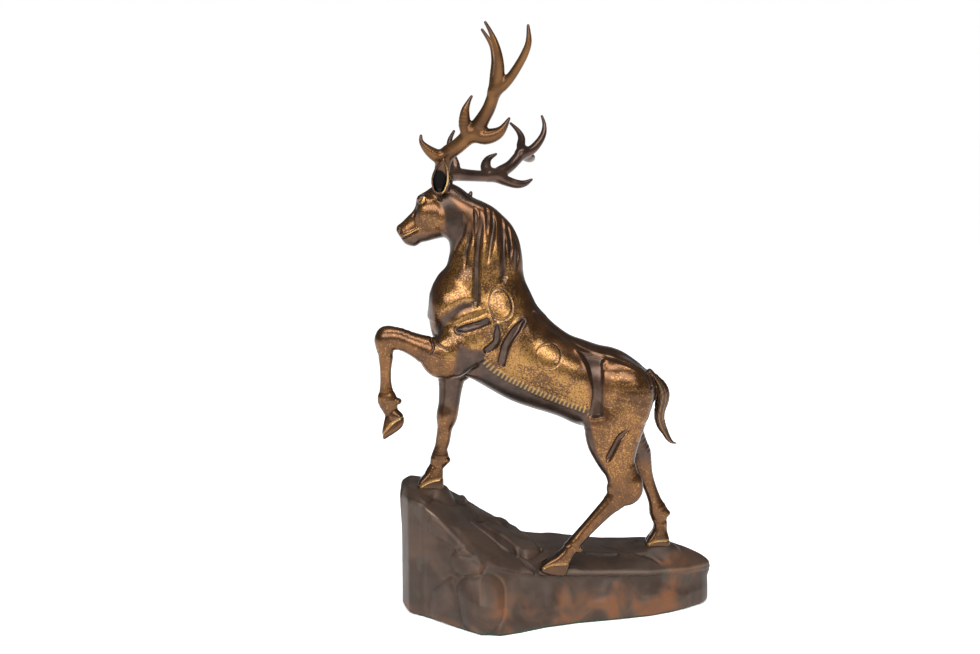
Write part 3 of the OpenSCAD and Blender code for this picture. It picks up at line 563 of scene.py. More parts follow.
# The dark hollow behind the elbow, the lines of the forearm and the dark front of the near thigh
ELBOW = [(-80.4, 224.3), (-77.9, 229.4), (-69.9, 225.4), (-61, 224.3), (-58, 217), (-58, 213),
         (-62, 204.5), (-73.9, 203), (-80.5, 204), (-83, 208), (-81.6, 215)]
FOREARM = [[(-101.3, 232.3), (-99.8, 229.2), (-99.4, 226.2), (-100.9, 222.1), (-96.9, 220.1),
            (-94.9, 219.1)],
           [(-97.8, 234.3), (-96.8, 231.3), (-92.9, 228.2), (-88.9, 225.7)]]
THIGH = [(14, 166), (22.2, 171), (25.5, 159.4), (29.5, 142.8), (35.5, 131.2), (41.4, 119), (32, 119),
         (26, 134), (12, 150)]
# The raised fold behind the band
HIP = [(34.5, 212.5), (39, 210), (41, 200), (40, 188), (42, 176)]


def seam_plane(seam):
    t = math.radians(seam[1])
    return seam[0], (-math.sin(t), 0, math.cos(t))


def ear_cup(ear, shift):
    """The hollow of an ear: its own stations, narrower and moved outwards."""
    return [[a + 1.4, b + shift[1], c - 1.4, d + shift[1], w - 0.3, y + shift[0]]
            for a, b, c, d, w, y in ear[1:5]]


def off_oval(x, z):
    """Distance from the shoulder's egg-shaped line, roughly."""
    t = math.radians(OVAL_TURN)
    dx, dz = x - OVAL_CENTRE[0], z - OVAL_CENTRE[1]
    u, v = dx * math.cos(t) + dz * math.sin(t), dz * math.cos(t) - dx * math.sin(t)
    level = np.hypot(u / (OVAL_SIZE[0] * (1 - 0.012 * v)), v / OVAL_SIZE[1])
    return np.abs(level - 1) * 10.5


def off_ring(x, z):
    """Distance from the ring on the flank."""
    return np.abs(np.hypot(x - RING_CENTRE[0], z - RING_CENTRE[1]) - RING_RADIUS)


def fringe_marks():
    """(top, direction down, distance along) of each tassel."""
    path = curve(FRINGE, 12)
    run = np.concatenate([[0], np.cumsum(np.hypot(*np.diff(path, axis=0).T))])
    for s in (np.arange(TICKS) + 0.5) / TICKS * run[-1]:
        p = np.array([np.interp(s, run, path[:, i]) for i in range(2)])
        q = np.array([np.interp(s + 0.5, run, path[:, i]) for i in range(2)])
        t = (q - p) / np.linalg.norm(q - p)
        yield p, np.array([t[1], -t[0]]) if t[0] > 0 else np.array([-t[1], t[0]])


def groove(d, width, depth):
    """Depth of a round groove at a distance from its line."""
    return depth * (1 - ramp(d, 0.12 * width, 0.5 * width))


def stroke(path, width, x, z, start, end):
    """How deep in a tapering stroke each place is, from 0 outside to 1 in the middle."""
    d, t = along(curve(path), x, z)
    full = ramp(t, -0.05, start) * ramp(1 - t, -0.05, end)
    half = width * (0.25 + 0.4 * full)
    return full * (1 - ramp(d, 0.15 * half, half))


def slot(path, width, depth, x, z):
    """Depth of a sunk bar, with a small raised rim round it."""
    d, t = along(curve(path), x, z)
    half = width / 2 * (0.55 + 0.45 * ramp(t, 0, 0.25))
    return depth * (1 - ramp(d, half - 2.2, half + 0.2)) - 0.5 * np.exp(-((d - half - 0.9) / 0.8) ** 2)


def flank_relief(x, z):
    """How far the flanks and neck are cut in, in mm, at each x and z."""
    cut = np.zeros(np.broadcast(x, z).shape)
    for path, width, depth, end in MANE:
        cut += depth * stroke(path, width * 1.25, x, z, 0.25, end)
    for path, width, height in STRANDS:
        cut -= height * stroke(path, width * 1.3, x, z, 0.3, 0.6)
    cut += 1.4 * stroke(CREASE, 11, x, z, 0.05, 0.3)
    for path, width, depth in SLOTS:
        cut += slot(path, width, depth, x, z)
    off = off_oval(x, z)
    cut += 0.35 * (1 - ramp(off, 0.2, 0.9)) - 0.08 * np.exp(-((off - 1.6) / 0.8) ** 2)
    cut += 0.4 * (1 - ramp(off_ring(x, z), 0.1, 0.8))
    line = curve(STRIPE)
    cut += groove(distance_to(line, x, z), 3.2, 0.9)
    above = z - np.interp(x, line[:, 0], line[:, 1])
    cut += 0.7 * ramp(above, 0, 2) * ramp(x, -20, -6) * (1 - ramp(x, 60, 70))
    band = area(BAND, x, z)
    cut += 1.5 * (1 - ramp(band, -2.6, 0.2)) - 0.25 * np.exp(-((band - 0.9) / 0.9) ** 2)
    cut += 2.2 * stroke(HAUNCH, 5.5, x, z, 0.3, 0.15)
    cut += 1.5 * within(ELBOW, x, z, -6, 1.5)
    cut -= 0.8 * stroke(HIP, 11, x, z, 0.2, 0.6)
    for line in FOREARM:
        cut += groove(distance_to(curve(line), x, z), 2.4, 0.9)
    for p, down in fringe_marks():
        a, b = p + down * 1.6, p + down * 6.4
        t = np.clip(((x - a[0]) * (b - a)[0] + (z - a[1]) * (b - a)[1]) / ((b - a) @ (b - a)), 0, 1)
        d = np.hypot(x - a[0] - t * (b - a)[0], z - a[1] - t * (b - a)[1])
        cut -= 0.5 * (1 - ramp(d, 0.2, 0.9 + 0.4 * t))
        r = np.hypot(x - p[0], z - p[1])
        cut += 0.5 * (1 - ramp(np.abs(r - 1.5), 0.1, 0.7))
    return cut


CHEEK = [(-111.5, 343.5), (-103.5, 345.5), (-97, 343.5), (-92, 335.5), (-89.5, 329), (-89.5, 324),
         (-91, 320), (-98, 317), (-105, 316), (-110, 317), (-113, 324), (-113, 333)]
MOUTH = [(-126, 310.5), (-119.6, 312.3), (-112, 316.6)]
LIP = [(-122, 313.4), (-116.7, 315.6), (-111, 318.7)]
NOSTRIL = [(-127.4, 318.4), (-125.8, 317.4), (-125.6, 315.6)]
BROW = [(-112, 341), (-109, 344), (-105.5, 345)]
EYE = (-107.6, 340.6)
EYE_LINE = [(-108.8, 338.6), (-106.4, 342.8)]      # the gilt line across the eye
TEAR = [(-110, 337.5), (-112.5, 333), (-115, 328)]


def face_relief(x, z):
    """How far the sides of the face are cut in; the cheek is raised."""
    cut = -1.0 * within(CHEEK, x, z, -4.5, 0.6)
    d = distance_to(curve(MOUTH), x, z)
    cut += 1.3 * (1 - ramp(d, 0.1, 0.8)) - 0.9 * np.exp(-distance_to(curve(LIP), x, z) ** 2)
    cut += groove(distance_to(curve(NOSTRIL), x, z), 2.2, 1.3)
    cut -= 0.4 * np.exp(-((distance_to(curve(BROW), x, z)) / 1.1) ** 2)
    cut -= 0.6 * np.exp(-((x + 99) / 7) ** 2 - ((z - 330) / 9) ** 2)
    cut += groove(distance_to(curve(TEAR), x, z), 3.0, 0.9)
    d = np.hypot((x - EYE[0]) / 2.6, (z - EYE[1]) / 3.2)
    cut += 0.8 * (1 - ramp(d, 0.6, 1.2))
    return cut


def engrave(clay, low, high, relief, inner, outer):
    """Cuts a relief into both sides; it fades in from |y| inner to outer."""
    cut, x, y, z = clay.window(low, high)
    depth = relief(x[:, 0, :], z[:, 0, :]).astype(np.float32)
    weight = ramp(np.abs(y), inner, outer)
    clay.phi[cut] += depth[:, None, :] * weight.astype(np.float32)


def foot(clay, outline, half, y, toe):
    """A cloven foot: a rounded profile, pinched in above and split at the toe."""
    low, high = np.min(outline, 0), np.max(outline, 0)
    cut, x, yy, z = clay.window((low[0] - 8, y - half - 8, low[1] - 8),
                                (high[0] + 8, y + half + 8, high[1] + 8))
    flat = area(outline, x[:, 0, :], z[:, 0, :])[:, None, :]
    rounding = 3.6
    wide = half * (1.04 - 0.3 * ramp(z, low[1] + 4, high[1]))
    side = np.maximum(np.abs(yy - y) - wide + rounding, 0)
    d = np.hypot(np.maximum(flat + rounding, 0), side) - rounding
    split = 1 - ramp(np.hypot(x - toe[0], z - toe[1]), 2, 11)
    return cut, (d + 2.2 * (1 - ramp(np.abs(yy - y), 0.2, 1.5)) * split).astype(np.float32)


def tail_middle(z):
    """x of the tail's middle line at each height."""
    middle = curve([[(a + c) / 2, (b + d) / 2] for a, b, c, d, _, _ in TAIL], 6)
    return np.interp(z, middle[::-1, 1], middle[::-1, 0])


def sculpt_stag():
    """Trunk, legs, tail and ears in one block of clay, marked by casting."""
    clay = Clay(*STAG_BLOCK, VOXEL)
    clay.add(clay.outline(0, BACK, BELLY, GIRTH))
    clay.add(clay.outline(90, THROAT, NAPE, NECK_GIRTH), 4)
    clay.add(clay.outline(34, FOREHEAD, JAW, FACE_GIRTH), 2.5)
    for side in (-1, 1):
        for (x, y, z), radii, turn, blend in MUSCLES:
            clay.add(clay.ball((x, side * y, z), radii, turn), blend)
    for name, stations in LEGS.items():
        clay.add(clay.limb(stations), HIND_BLEND if "hind" in name else FORE_BLEND, PARTS[name], 0.5)
        clay.add(foot(clay, *FEET[name][:4]), 1.2, PARTS[name], 0.5)
    for name, line in HORN.items():
        y = FEET[name][2]
        low, high = np.min(line, 0) - 4, np.max(line, 0) + 4
        engrave(clay, (low[0], y - 12, low[1]), (high[0], y + 12, high[1]),
                lambda x, z: 0.45 * near_line(line, x, z, 0.1, 0.8), 0, 0.01)
    for name, centre, radii, turn, blend in JOINTS:
        clay.add(clay.ball(centre, radii, turn), blend, PARTS[name])
    engrave(clay, (-106, -33, 128), (82, 33, 340), flank_relief, 3, 8)
    engrave(clay, (-131, -20, 300), (-84, 20, 350), face_relief, 2, 5)
    for side in (-1, 1):
        clay.add(clay.ball((EYE[0], side * 9.2, EYE[1]), (1.2, 1.8, 2.7), 25), 0.6)
    clay.add(clay.ball(*NAPE_TUFT), 1.0)
    clay.add(clay.limb(TAIL), 0.8, PARTS["tail"], 0.0)

    # strands along the tail
    cut, x, y, z = clay.window((76, -9, 142), (100, 9, 202))
    strands = 0.55 * np.cos((x - tail_middle(z)) * TAIL_STRANDS) ** 8 * ramp(z, 147, 156)
    clay.phi[cut] += np.where(clay.part[cut] == PARTS["tail"], strands, 0).astype(np.float32)

    head_only = clay.beyond(*seam_plane(HEAD_SEAM))
    for part, (ear, shift) in EARS.items():
        cut, shell = clay.limb(ear)
        inner, cup = clay.limb(ear_cup(ear, shift))
        hole = np.full(clay.phi.shape, AIR, np.float32)
        hole[inner] = cup
        clay.add((cut, np.maximum(shell, -hole[cut])), 0.6, PARTS[part], 0.0)
    for seat, axis in SEATS:
        clay.add(clay.cylinder(seat - axis * PEDICLE_LENGTH, axis, PEDICLE_R, PEDICLE_LENGTH), 1.2)
        clay.carve(clay.cylinder(seat - axis * SOCKET_DEPTH, axis, SOCKET_R, SOCKET_DEPTH + 1))

    # which casting is which
    cut, x, y, z = clay.everywhere()
    legs = (clay.part >= 4) & (clay.part <= 7)
    neck_up = clay.beyond(*seam_plane(NECK_SEAM))
    clay.part[legs & (np.abs(y) < WEB) & (z > WEB_BOTTOM)] = PARTS["torso"]
    clay.part[legs & (neck_up > 0)] = PARTS["neck"]
    trunk = clay.part <= 3
    clay.part[trunk] = PARTS["torso"]
    clay.part[trunk & (neck_up > 0)] = PARTS["neck"]
    clay.part[trunk & (neck_up > 0) & (head_only > 0)] = PARTS["head"]
    return clay


# ---------------------------------------------------------------- antlers (mm)
LEFT_BEAM = [
    [-93, -8.6, 355, 5.6], [-92.6, -9, 360, 5.4], [-92, -10, 366, 6.0], [-89, -13, 376, 6.2],
    [-80, -17, 383, 5.8], [-72, -20, 390, 6], [-66, -22, 395, 6.6], [-60, -27, 404.5, 5.4],
    [-56, -30, 411.5, 5], [-53, -33, 419.5, 4.7], [-50.5, -36, 427, 4.6], [-48.5, -39, 434, 4.2],
    [-48, -42, 442, 3.7], [-49, -44, 451, 3.1], [-51.5, -45, 460, 2.5], [-55, -46, 468, 1.6],
    [-58.5, -47, 474, 1.1]]
LEFT_TINES = [
    [[-91, -12, 373, 5.6], [-97, -15, 376, 5], [-103, -18, 380.5, 3.6], [-107.5, -20, 386, 1.9],
     [-108, -20, 391, 1.1]],
    [[-70, -21, 392, 6], [-74, -23, 399, 5], [-74, -26, 409, 3.4], [-71.5, -27, 416, 1.8],
     [-69, -27, 420.5, 1.1]],
    [[-67, -22, 393, 6.4], [-59, -24, 390.5, 6.2], [-51, -26, 392, 5], [-45.5, -28, 396, 3.2],
     [-40.5, -29, 404, 1.1]],
    [[-52, -34, 424, 4.4], [-51.8, -30, 436, 3.4], [-51.4, -27, 448, 2.7], [-53.8, -26, 459, 2],
     [-61, -27, 470, 1.1]],
    [[-51, -36, 425, 4.4], [-46, -38, 428, 4.2], [-40, -41, 434, 3.6], [-34.5, -44, 442, 3.2],
     [-29.5, -47, 451, 2.9], [-26.5, -49, 460, 2.3], [-27, -50, 471.5, 1.1]]]
RIGHT_BEAM = [
    [-91, 9, 355, 5.6], [-90.4, 11, 358.5, 5.6], [-88, 14, 360, 5.8], [-83, 19, 360, 5.4],
    [-70.5, 30, 358.5, 4.7], [-58, 42, 357.5, 4.6], [-50, 49, 358.5, 5.2], [-46, 53, 360.5, 5.2],
    [-38.5, 60, 365, 4.6], [-32.5, 66, 371, 4.6], [-28.5, 70, 376.5, 4.6], [-29, 75, 382, 3.7],
    [-28.5, 80, 388, 3], [-31.5, 84, 394, 2.1], [-37.5, 88, 400, 1.1]]
RIGHT_TINES = [
    [[-85, 17, 360.5, 5], [-83, 20, 367, 4], [-86.5, 25, 377, 3.1], [-87.5, 29, 386, 2.1],
     [-84, 31, 394, 1.1]],
    [[-56, 44, 358.5, 5], [-58.5, 49, 365, 4.4], [-56.5, 54, 371, 2.8], [-50, 56, 375, 1.1]],
    [[-52, 47, 358, 5], [-41, 52, 353, 4.2], [-32.5, 54, 350.5, 3.6], [-26, 56, 351, 2.6],
     [-20.5, 57, 354, 1.1]],
    [[-29, 69, 375.5, 4.4], [-21, 74, 377.5, 4], [-14.5, 79, 383.5, 3.4], [-10, 84, 391, 2.6],
     [-9, 88, 399, 1.7], [-11, 90, 406, 1.1]],
    [[-29, 70, 375, 4.2], [-23, 82, 372, 4.4], [-20, 94, 371, 3.6], [-20, 100.5, 372, 2.2]]]
CORONET = 7.2, 3         # radius, height


def sculpt_antler(beam, tines, seat, axis):
    """One antler, cut square at its seat, with a pearled coronet round the foot."""
    every = np.array(beam + [p for t in tines for p in t])[:, :3]
    clay = Clay(every.min(0) - 9, every.max(0) + 9, FINE_VOXEL)
    clay.add(clay.rope(beam))
    for t in tines:
        clay.add(clay.rope(t), 2.6)
    cut, x, y, z = clay.window(seat - 14, seat + 14)
    p = [x - seat[0], y - seat[1], z - seat[2]]
    up = sum(v * a for v, a in zip(p, axis))
    side = np.cross(axis, [1, 0, 0])
    turn = np.arctan2(sum(v * a for v, a in zip(p, side)), p[0])
    radial = np.sqrt(np.maximum(sum(v * v for v in p) - up * up, 0))
    r, h = CORONET
    ring = np.hypot(np.maximum(radial - r + 1.6 - 0.35 * np.cos(15 * turn), 0), up - h / 2) - 1.45
    clay.add((cut, ring.astype(np.float32)), 0.8)
    clay.phi = np.maximum(clay.phi, -clay.beyond(seat, axis))
    return clay


# ---------------------------------------------------------------- the rock (mm)
# Stations along X: [x, front foot y, front edge y, front edge z, back edge z, back edge y, back foot y]
ROCK = np.array([
    [-128, 14, 12, 96, 103, 42, 46], [-122, -3, -4, 99, 105, 44, 50], [-112, -11, -12, 97, 104, 44, 53],
    [-96, -23, -20, 87, 98, 42, 54], [-79, -39, -30, 74, 90, 41, 54], [-63, -51, -35, 61, 79, 41, 53],
    [-47, -53, -32, 52, 69, 42, 52], [-31, -47, -28, 47, 61, 43, 52], [-11, -36, -25, 44, 56, 43, 52],
    [14, -27, -20, 42, 54, 43, 52], [40, -21, -14, 40, 51, 43, 53], [76, -11, -6, 37, 52, 42, 54],
    [95, -3, 1, 36, 50, 41, 53], [110, 7, 10, 34, 45, 39, 51], [123, 17, 20, 33, 40, 36, 47],
    [130, 26, 27, 32, 36, 33, 40]], float)
ROCK_BLOCK = (-133, -59, -3), (135, 60, 112)         # lowest and highest corner of the clay
ROCK_FOOT = 1.5          # the felt's thickness
ROCK_WALL = 6
# Slabs lying on the top: outline in (x, y), height, width of the slope at the edge
SLABS = [([(-127, 12), (-118, -2), (-106, -9), (-99, 12), (-89, 20), (-78, 23), (-74, 41), (-76, 50),
           (-127, 50)], 1.6, 2.5),
         ([(-78, 26), (-72, 20), (-66, 12), (-60, 20), (-53, 27), (-44, 29), (-40, 46), (-78, 50)],
          2.0, 3.0),
         ([(-64, 8), (-56, 6), (-44, 6), (-32, -2), (-25, -6), (-15, 1), (-14, 7), (-19, 20), (-27, 37),
           (-36, 48), (-50, 40)], 2.4, 4.0),
         ([(-90, -19), (-78, -8), (-66, -8), (-53, -9), (-39, -14), (-31, -8), (-25, -16), (-17, -25),
           (-38, -31), (-60, -35), (-78, -28)], 1.4, 7.0)]
# Clefts on the top: a line in (x, y), width, depth
CLEFTS = [([(-33, -3), (-25, -9), (-15, -1), (-13, 5)], 4.5, 2.6),
          ([(-33, -10), (-26, -17), (-17, -25)], 3.5, 2.8),
          ([(-66, 10), (-60, 17), (-52, 25), (-42, 27)], 3.0, 2.2),
          ([(-72, 2), (-55, -4), (-41, -9), (-32, -5)], 3.0, 2.0),
          ([(-105, -5), (-98, 11), (-88, 18), (-77, 22), (-73, 38)], 2.5, 1.4),
          ([(24, 4), (36, 5), (50, 7)], 3.4, 2.2),
          ([(38, 20), (50, 14), (62, 7)], 2.0, 0.8),
          ([(68, 30), (78, 22), (88, 17)], 3.0, 1.2),
          ([(66, 9), (76, 7), (84, 4)], 3.0, 1.2)]
HOLLOW = (86, 13), (9, 7), 2.6       # the dip before the far hind hoof: centre, radii, depth
# Bosses inside, for the hooves' studs and the cover's screws: x, y, radius, lower end
BOSSES = [(-103, 18, 7, 85), (0, -17, 7, 30), (85, 22, 7, 37), (-105, 30, 4.5, 3.5),
          (-55, 30, 4.5, 3.5), (60, 36, 4.5, 3.5), (-48, -36, 4.5, 3.5), (112, 33, 4.5, 3.5)]
# The rust-stained run across the low top
TRAIL = [(44, 39), (48, 20), (55, 9), (67, 10), (77, 6), (86, 3), (93, 9)]
# Plates on the front: outline in (x, z), how proud, width of the slope at the edge
PLATES = [([(-74, 70), (-84, 62), (-87, 55), (-84, 47), (-74, 44), (-62, 46), (-58, 58)], 2.4, 5),
          ([(-62, 47), (-76, 43), (-81, 35), (-80, 22), (-76, 6), (-60, 0), (-46, 12), (-44, 34),
            (-52, 44)], 3.0, 6),
          ([(-102, 26), (-93, 36), (-85, 42), (-82, 34), (-81, 20), (-79, 0), (-102, 0)], 1.8, 5),
          ([(-105, 90), (-104, 74), (-93, 70), (-86, 66), (-79, 60), (-66, 60), (-72, 68), (-90, 82)],
           1.6, 3),
          ([(34, 24), (39, 34), (54, 35), (63, 28), (56, 19), (44, 11), (36, 14)], 1.8, 5),
          ([(66, 24), (82, 28), (98, 22), (112, 12), (100, 4), (76, 8)], 1.6, 5),
          ([(-20, 30), (-4, 26), (4, 18), (-2, 6), (-22, 8), (-34, 20)], 1.6, 6)]


def rock_row(x, i):
    return np.interp(x, ROCK[:, 0], ROCK[:, i])


def steps(v, marks, levels):
    """A value read along marks, where marks and levels are arrays that vary over the block."""
    out = levels[0]
    for (a, b), (p, q) in zip(zip(marks[:-1], marks[1:]), zip(levels[:-1], levels[1:])):
        t = np.clip((v - a) / np.maximum(b - a, 1e-3), 0, 1)
        out = out + (q - p) * t
    return out


def waves(x, y, z, size, seed):
    """Slow irregular waves between about -1 and 1."""
    rng = np.random.default_rng(seed)
    out = 0.0
    for k in range(7):
        d = rng.normal(size=3)
        d = d / np.linalg.norm(d) / size * (1 + 0.35 * k)
        phase = 2 * math.pi * (x * d[0] + y * d[1] + z * d[2]) + rng.uniform(0, 6.3)
        out = out + np.sin(phase) / (1 + 0.6 * k)
    return out / 2.4


def rock_top(x, y):
    """Height of the rock's top."""
    f1, zf, zb, b1 = (rock_row(x, i) for i in (2, 3, 4, 5))
    u = np.clip((y - f1) / np.maximum(b1 - f1, 1), 0, 1)
    top = zf + (zb - zf) * np.interp(u, [0, 0.18, 0.35, 0.7, 1], [0, 0.42, 0.72, 0.97, 1])
    slope = 1 - ramp(x, -30, 0)
    for outline, height, width in SLABS:
        top = top + height * within(outline, x, y, -width, 0.6) - height * 0.45 * slope
    for line, width, depth in CLEFTS:
        top = top - groove(distance_to(curve(line), x, y), width * 1.3, depth)
    top = top + 2.2 * (1 - ramp(x, -102, -84))
    (cx, cy), (rx, ry), depth = HOLLOW
    top = top - depth * (1 - ramp(np.hypot((x - cx) / rx, (y - cy) / ry), 0.3, 1.1))
    top = top + 0.5 * waves(x, y, 0, 26, 3)
    for outline, half, foot_y, _, sole in FEET.values():
        if sole:
            middle = (np.min(outline, 0)[0] + np.max(outline, 0)[0]) / 2
            near = 1 - ramp(np.hypot((x - middle) / 1.4, y - foot_y), half + 1, half + 9)
            top = top + (sole - top) * near
    return top


def sculpt_rock():
    """The rock: walls and top as distances, hollowed from below, with its bosses inside."""
    clay = Clay(*ROCK_BLOCK, ROCK_VOXEL)
    _, x, y, z = clay.everywhere()
    f0, f1, zf, zb, b1, b0 = (rock_row(x, i) for i in range(1, 7))
    top = rock_top(x[:, :, 0], y[:, :, 0])[:, :, None]
    flat_x, flat_z = x[:, 0, :], z[:, 0, :]
    proud = sum(h * within(p, flat_x, flat_z, -w, 0.5) for p, h, w in PLATES)
    proud = proud - sum(groove(np.abs(area(p, flat_x, flat_z)), 3.2, 1.4) for p, _, _ in PLATES[:4])
    proud = proud * ramp(zf[:, 0, :] - flat_z, 1, 7)
    lip = 2.2 * ramp(flat_x, -66, -40) * ramp(zf[:, 0, :] - flat_z, 3.2, 4.4) * ramp(flat_z, 4, 20)
    corner = 1.3 * (1 - ramp(np.abs(flat_x + 110), 0.5, 3.5))
    rough = 0.9 * waves(x, 0, z, 30, 5) * ramp(zf - z, 2, 12)
    shift = (0.55 * proud - lip - corner)[:, None, :] + rough - 0.6
    front = steps(z, [0 * zf, 0.4 * zf, 0.85 * zf, zf], [f0, f0 * 0.8 + f1 * 0.2 - 2, f1 - 1.5, f1]) - shift
    back = steps(z, [0 * zb, 0.35 * zb, 0.85 * zb, zb], [b0, b0 + 1, b1 + 2, b1])
    back = back + 1.2 * waves(x, 0, z, 34, 8) * ramp(zb - z, 0, 10) - 0.8
    ends = np.maximum(-128.5 - 1.5 * ramp(z, 60, 100) - x, x - 130 - 2 * ramp(z, 20, 27))
    wall = smooth_max(smooth_max(front - y, y - back, 3), ends, 6)
    d = smooth_max(wall, 0.8 * (z - top), 2.2)
    d = np.maximum(d, ROCK_FOOT - z)
    inner = np.maximum(np.maximum(front - y, y - back), np.maximum(ends, 0.85 * (z - top))) + ROCK_WALL
    clay.phi = np.maximum(d, -inner).astype(np.float32)
    for px, py, r, bottom in BOSSES:
        boss = np.maximum(np.hypot(x - px, y - py) - r, bottom - z)
        clay.phi = np.minimum(clay.phi, np.maximum(boss, d)).astype(np.float32)
    clay.phi = np.clip(clay.phi, -AIR, AIR)
    return clay


# ---------------------------------------------------------------- materials
def srgb(*c):
    """A 0-255 screen colour as a linear colour."""
    return tuple(((v / 255 + 0.055) / 1.055) ** 2.4 if v > 10 else v / 255 / 12.92 for v in c) + (1.0,)


class Finish:
    """A material and its nodes, made one call a node."""

    def __init__(self, name, slot, **fixed):
        self.material = bpy.data.materials.new(name)
        self.material.use_nodes = True
        self.material["slot"] = slot
        self.tree = self.material.node_tree
        self.shader = self.tree.nodes["Principled BSDF"]
        for socket, value in fixed.items():
            self.shader.inputs[socket.replace("_", " ")].default_value = value
        self.place = self.tree.nodes.new("ShaderNodeTexCoord").outputs["Object"]

    def node(self, kind, inputs, **settings):
        node = self.tree.nodes.new(kind)
        for key, value in settings.items():
            setattr(node, key, value)
        for key, value in inputs.items():
            if isinstance(value, bpy.types.NodeSocket):
                self.tree.links.new(value, node.inputs[key])
            else:
                node.inputs[key].default_value = value
        return node

    def painted(self, name):
        return self.node("ShaderNodeAttribute", {}, attribute_name=name).outputs["Fac"]

    def noise(self, size_mm, detail, rough, distort=0.0):
        inputs = {"Vector": self.place, "Scale": 1000 / size_mm, "Detail": detail,
                  "Roughness": rough, "Distortion": distort}
        return self.node("ShaderNodeTexNoise", inputs).outputs["Fac"]

    def math(self, how, a, b=0.0, clamp=False):
        return self.node("ShaderNodeMath", {0: a, 1: b}, operation=how, use_clamp=clamp).outputs[0]

    def between(self, value, low, high, to_low=0.0, to_high=1.0):
        inputs = {"Value": value, "From Min": low, "From Max": high, "To Min": to_low, "To Max": to_high}
        return self.node("ShaderNodeMapRange", inputs, interpolation_type="SMOOTHSTEP").outputs[0]

    def mix(self, amount, a, b):
        """Blends colour a into b; inputs 6 and 7 and output 2 are the node's colour sockets."""
        return self.node("ShaderNodeMix", {"Factor": amount, 6: a, 7: b}, data_type="RGBA").outputs[2]

    def feed(self, socket, value):
        self.tree.links.new(value, self.shader.inputs[socket])

    def bump(self, height, distance_mm, strength=1.0):
        inputs = {"Height": height, "Distance": distance_mm * MM, "Strength": strength}
        node = self.node("ShaderNodeBump", inputs)
        self.feed("Normal", node.outputs[0])


def make_gilt_bronze():
    """Brown bronze with grains of gold where gilt is painted, dark where dark is painted."""
    f = Finish("gilt_bronze_look", "gilt_bronze", Metallic=0.88, Coat_Roughness=0.2)
    gilt, dark, recess = f.painted("gilt"), f.painted("dark"), f.painted("recess")
    grain = f.noise(1.25, 3.0, 0.7)
    clouds = f.noise(16, 2.0, 0.6)
    amount = f.math("MULTIPLY", gilt, f.between(clouds, 0.25, 0.62, 0.6, 1.0))
    edge = f.math("SUBTRACT", 0.74, f.math("MULTIPLY", amount, 0.28))
    gold = f.between(f.math("SUBTRACT", grain, edge), -0.03, 0.04)
    gold = f.math("MULTIPLY", gold, f.between(gilt, 0.02, 0.3))
    brown = f.mix(f.between(clouds, 0.3, 0.7), srgb(76, 50, 29), srgb(104, 68, 38))
    warm = f.mix(gold, brown, srgb(144, 106, 55))
    patina = f.mix(f.between(f.noise(9, 3.0, 0.6), 0.35, 0.7), srgb(54, 42, 36), srgb(76, 58, 48))
    # shade: the painted dark, and painted shade in the recesses; both darken towards the patina colour
    shade = f.math("MAXIMUM", dark, f.between(recess, 0.12, 0.75, 0.0, 0.85))
    colour = f.mix(shade, warm, patina)
    colour = f.mix(f.painted("black"), colour, srgb(7, 6, 5))
    colour = f.mix(f.painted("rim"), colour, srgb(192, 154, 88))
    f.feed("Base Color", colour)
    f.feed("Coat Weight", f.between(f.painted("black"), 0.0, 1.0, 0.25, 0.0))
    f.feed("Roughness", f.between(f.math("ADD", shade, f.painted("black")), 0.0, 1.0, 0.27, 0.33))
    f.bump(f.noise(0.9, 2.0, 0.6), 0.05, 0.5)
    return f.material


def make_antler_bronze(name, light, deep):
    """Smooth chestnut patina in light and dark clouds, darker near the tips, with painted shade in the
    recesses.
    """
    f = Finish(name, "antler_bronze", Metallic=0.8, Roughness=0.3)
    tone = f.mix(f.between(f.noise(22, 2.0, 0.5), 0.3, 0.7), deep, light)
    # Painted shade: the recesses are darkened
    tone = f.mix(f.between(f.painted("recess"), 0.0, 0.9, 0.0, 0.7), tone, srgb(50, 35, 27))
    tone = f.mix(f.painted("tip"), tone, srgb(60, 46, 42))
    f.feed("Base Color", tone)
    f.bump(f.noise(2.4, 2.0, 0.5), 0.05, 0.3)
    return f.material


def make_rock():
    """Dark brown patina with rust patches and faint veins low down, painted shade in the recesses, and a
    painted pale highlight along the front top edge.
    """
    f = Finish("rock_look", "rock_patina", Metallic=0.45)
    stone = f.mix(f.between(f.noise(30, 3.0, 0.55, 0.6), 0.35, 0.65), srgb(54, 40, 31), srgb(69, 52, 41))
    green = f.between(f.noise(26, 2.0, 0.5, 0.8), 0.5, 0.7, 0.0, 0.7)
    stone = f.mix(f.math("MULTIPLY", green, f.painted("wall")), stone, srgb(66, 60, 52))
    cells = f.noise(30, 1.0, 0.4, 0.9)
    middle = f.math("ABSOLUTE", f.math("SUBTRACT", cells, 0.5))
    vein = f.math("SUBTRACT", 1.0, f.between(middle, 0.0, 0.035))
    patch = f.between(f.noise(28, 2.0, 0.5, 0.6), 0.48, 0.72)
    rust = f.math("ADD", f.math("MULTIPLY", vein, 0.1), f.math("MULTIPLY", patch, 0.65), True)
    rust = f.math("MULTIPLY", rust, f.painted("rust"))
    stone = f.mix(rust, stone, srgb(122, 72, 36))
    # Painted shade: the recesses are darkened
    shade = f.between(f.painted("recess"), 0.05, 0.8, 0.0, 0.8)
    stone = f.mix(shade, stone, srgb(38, 27, 24))
    # Painted highlight: the pale line along the front top edge
    stone = f.mix(f.painted("rim"), stone, srgb(214, 186, 158))
    f.feed("Base Color", stone)
    f.feed("Roughness", f.between(rust, 0.0, 1.0, 0.5, 0.66))
    f.bump(f.noise(3.2, 3.0, 0.6), 0.12, 0.4)
    return f.material


def make_metal(name, slot, light, deep, rough):
    f = Finish(name, slot, Metallic=1.0, Roughness=rough)
    f.feed("Base Color", f.mix(f.between(f.noise(7, 3.0, 0.6), 0.3, 0.7), deep, light))
    return f.material


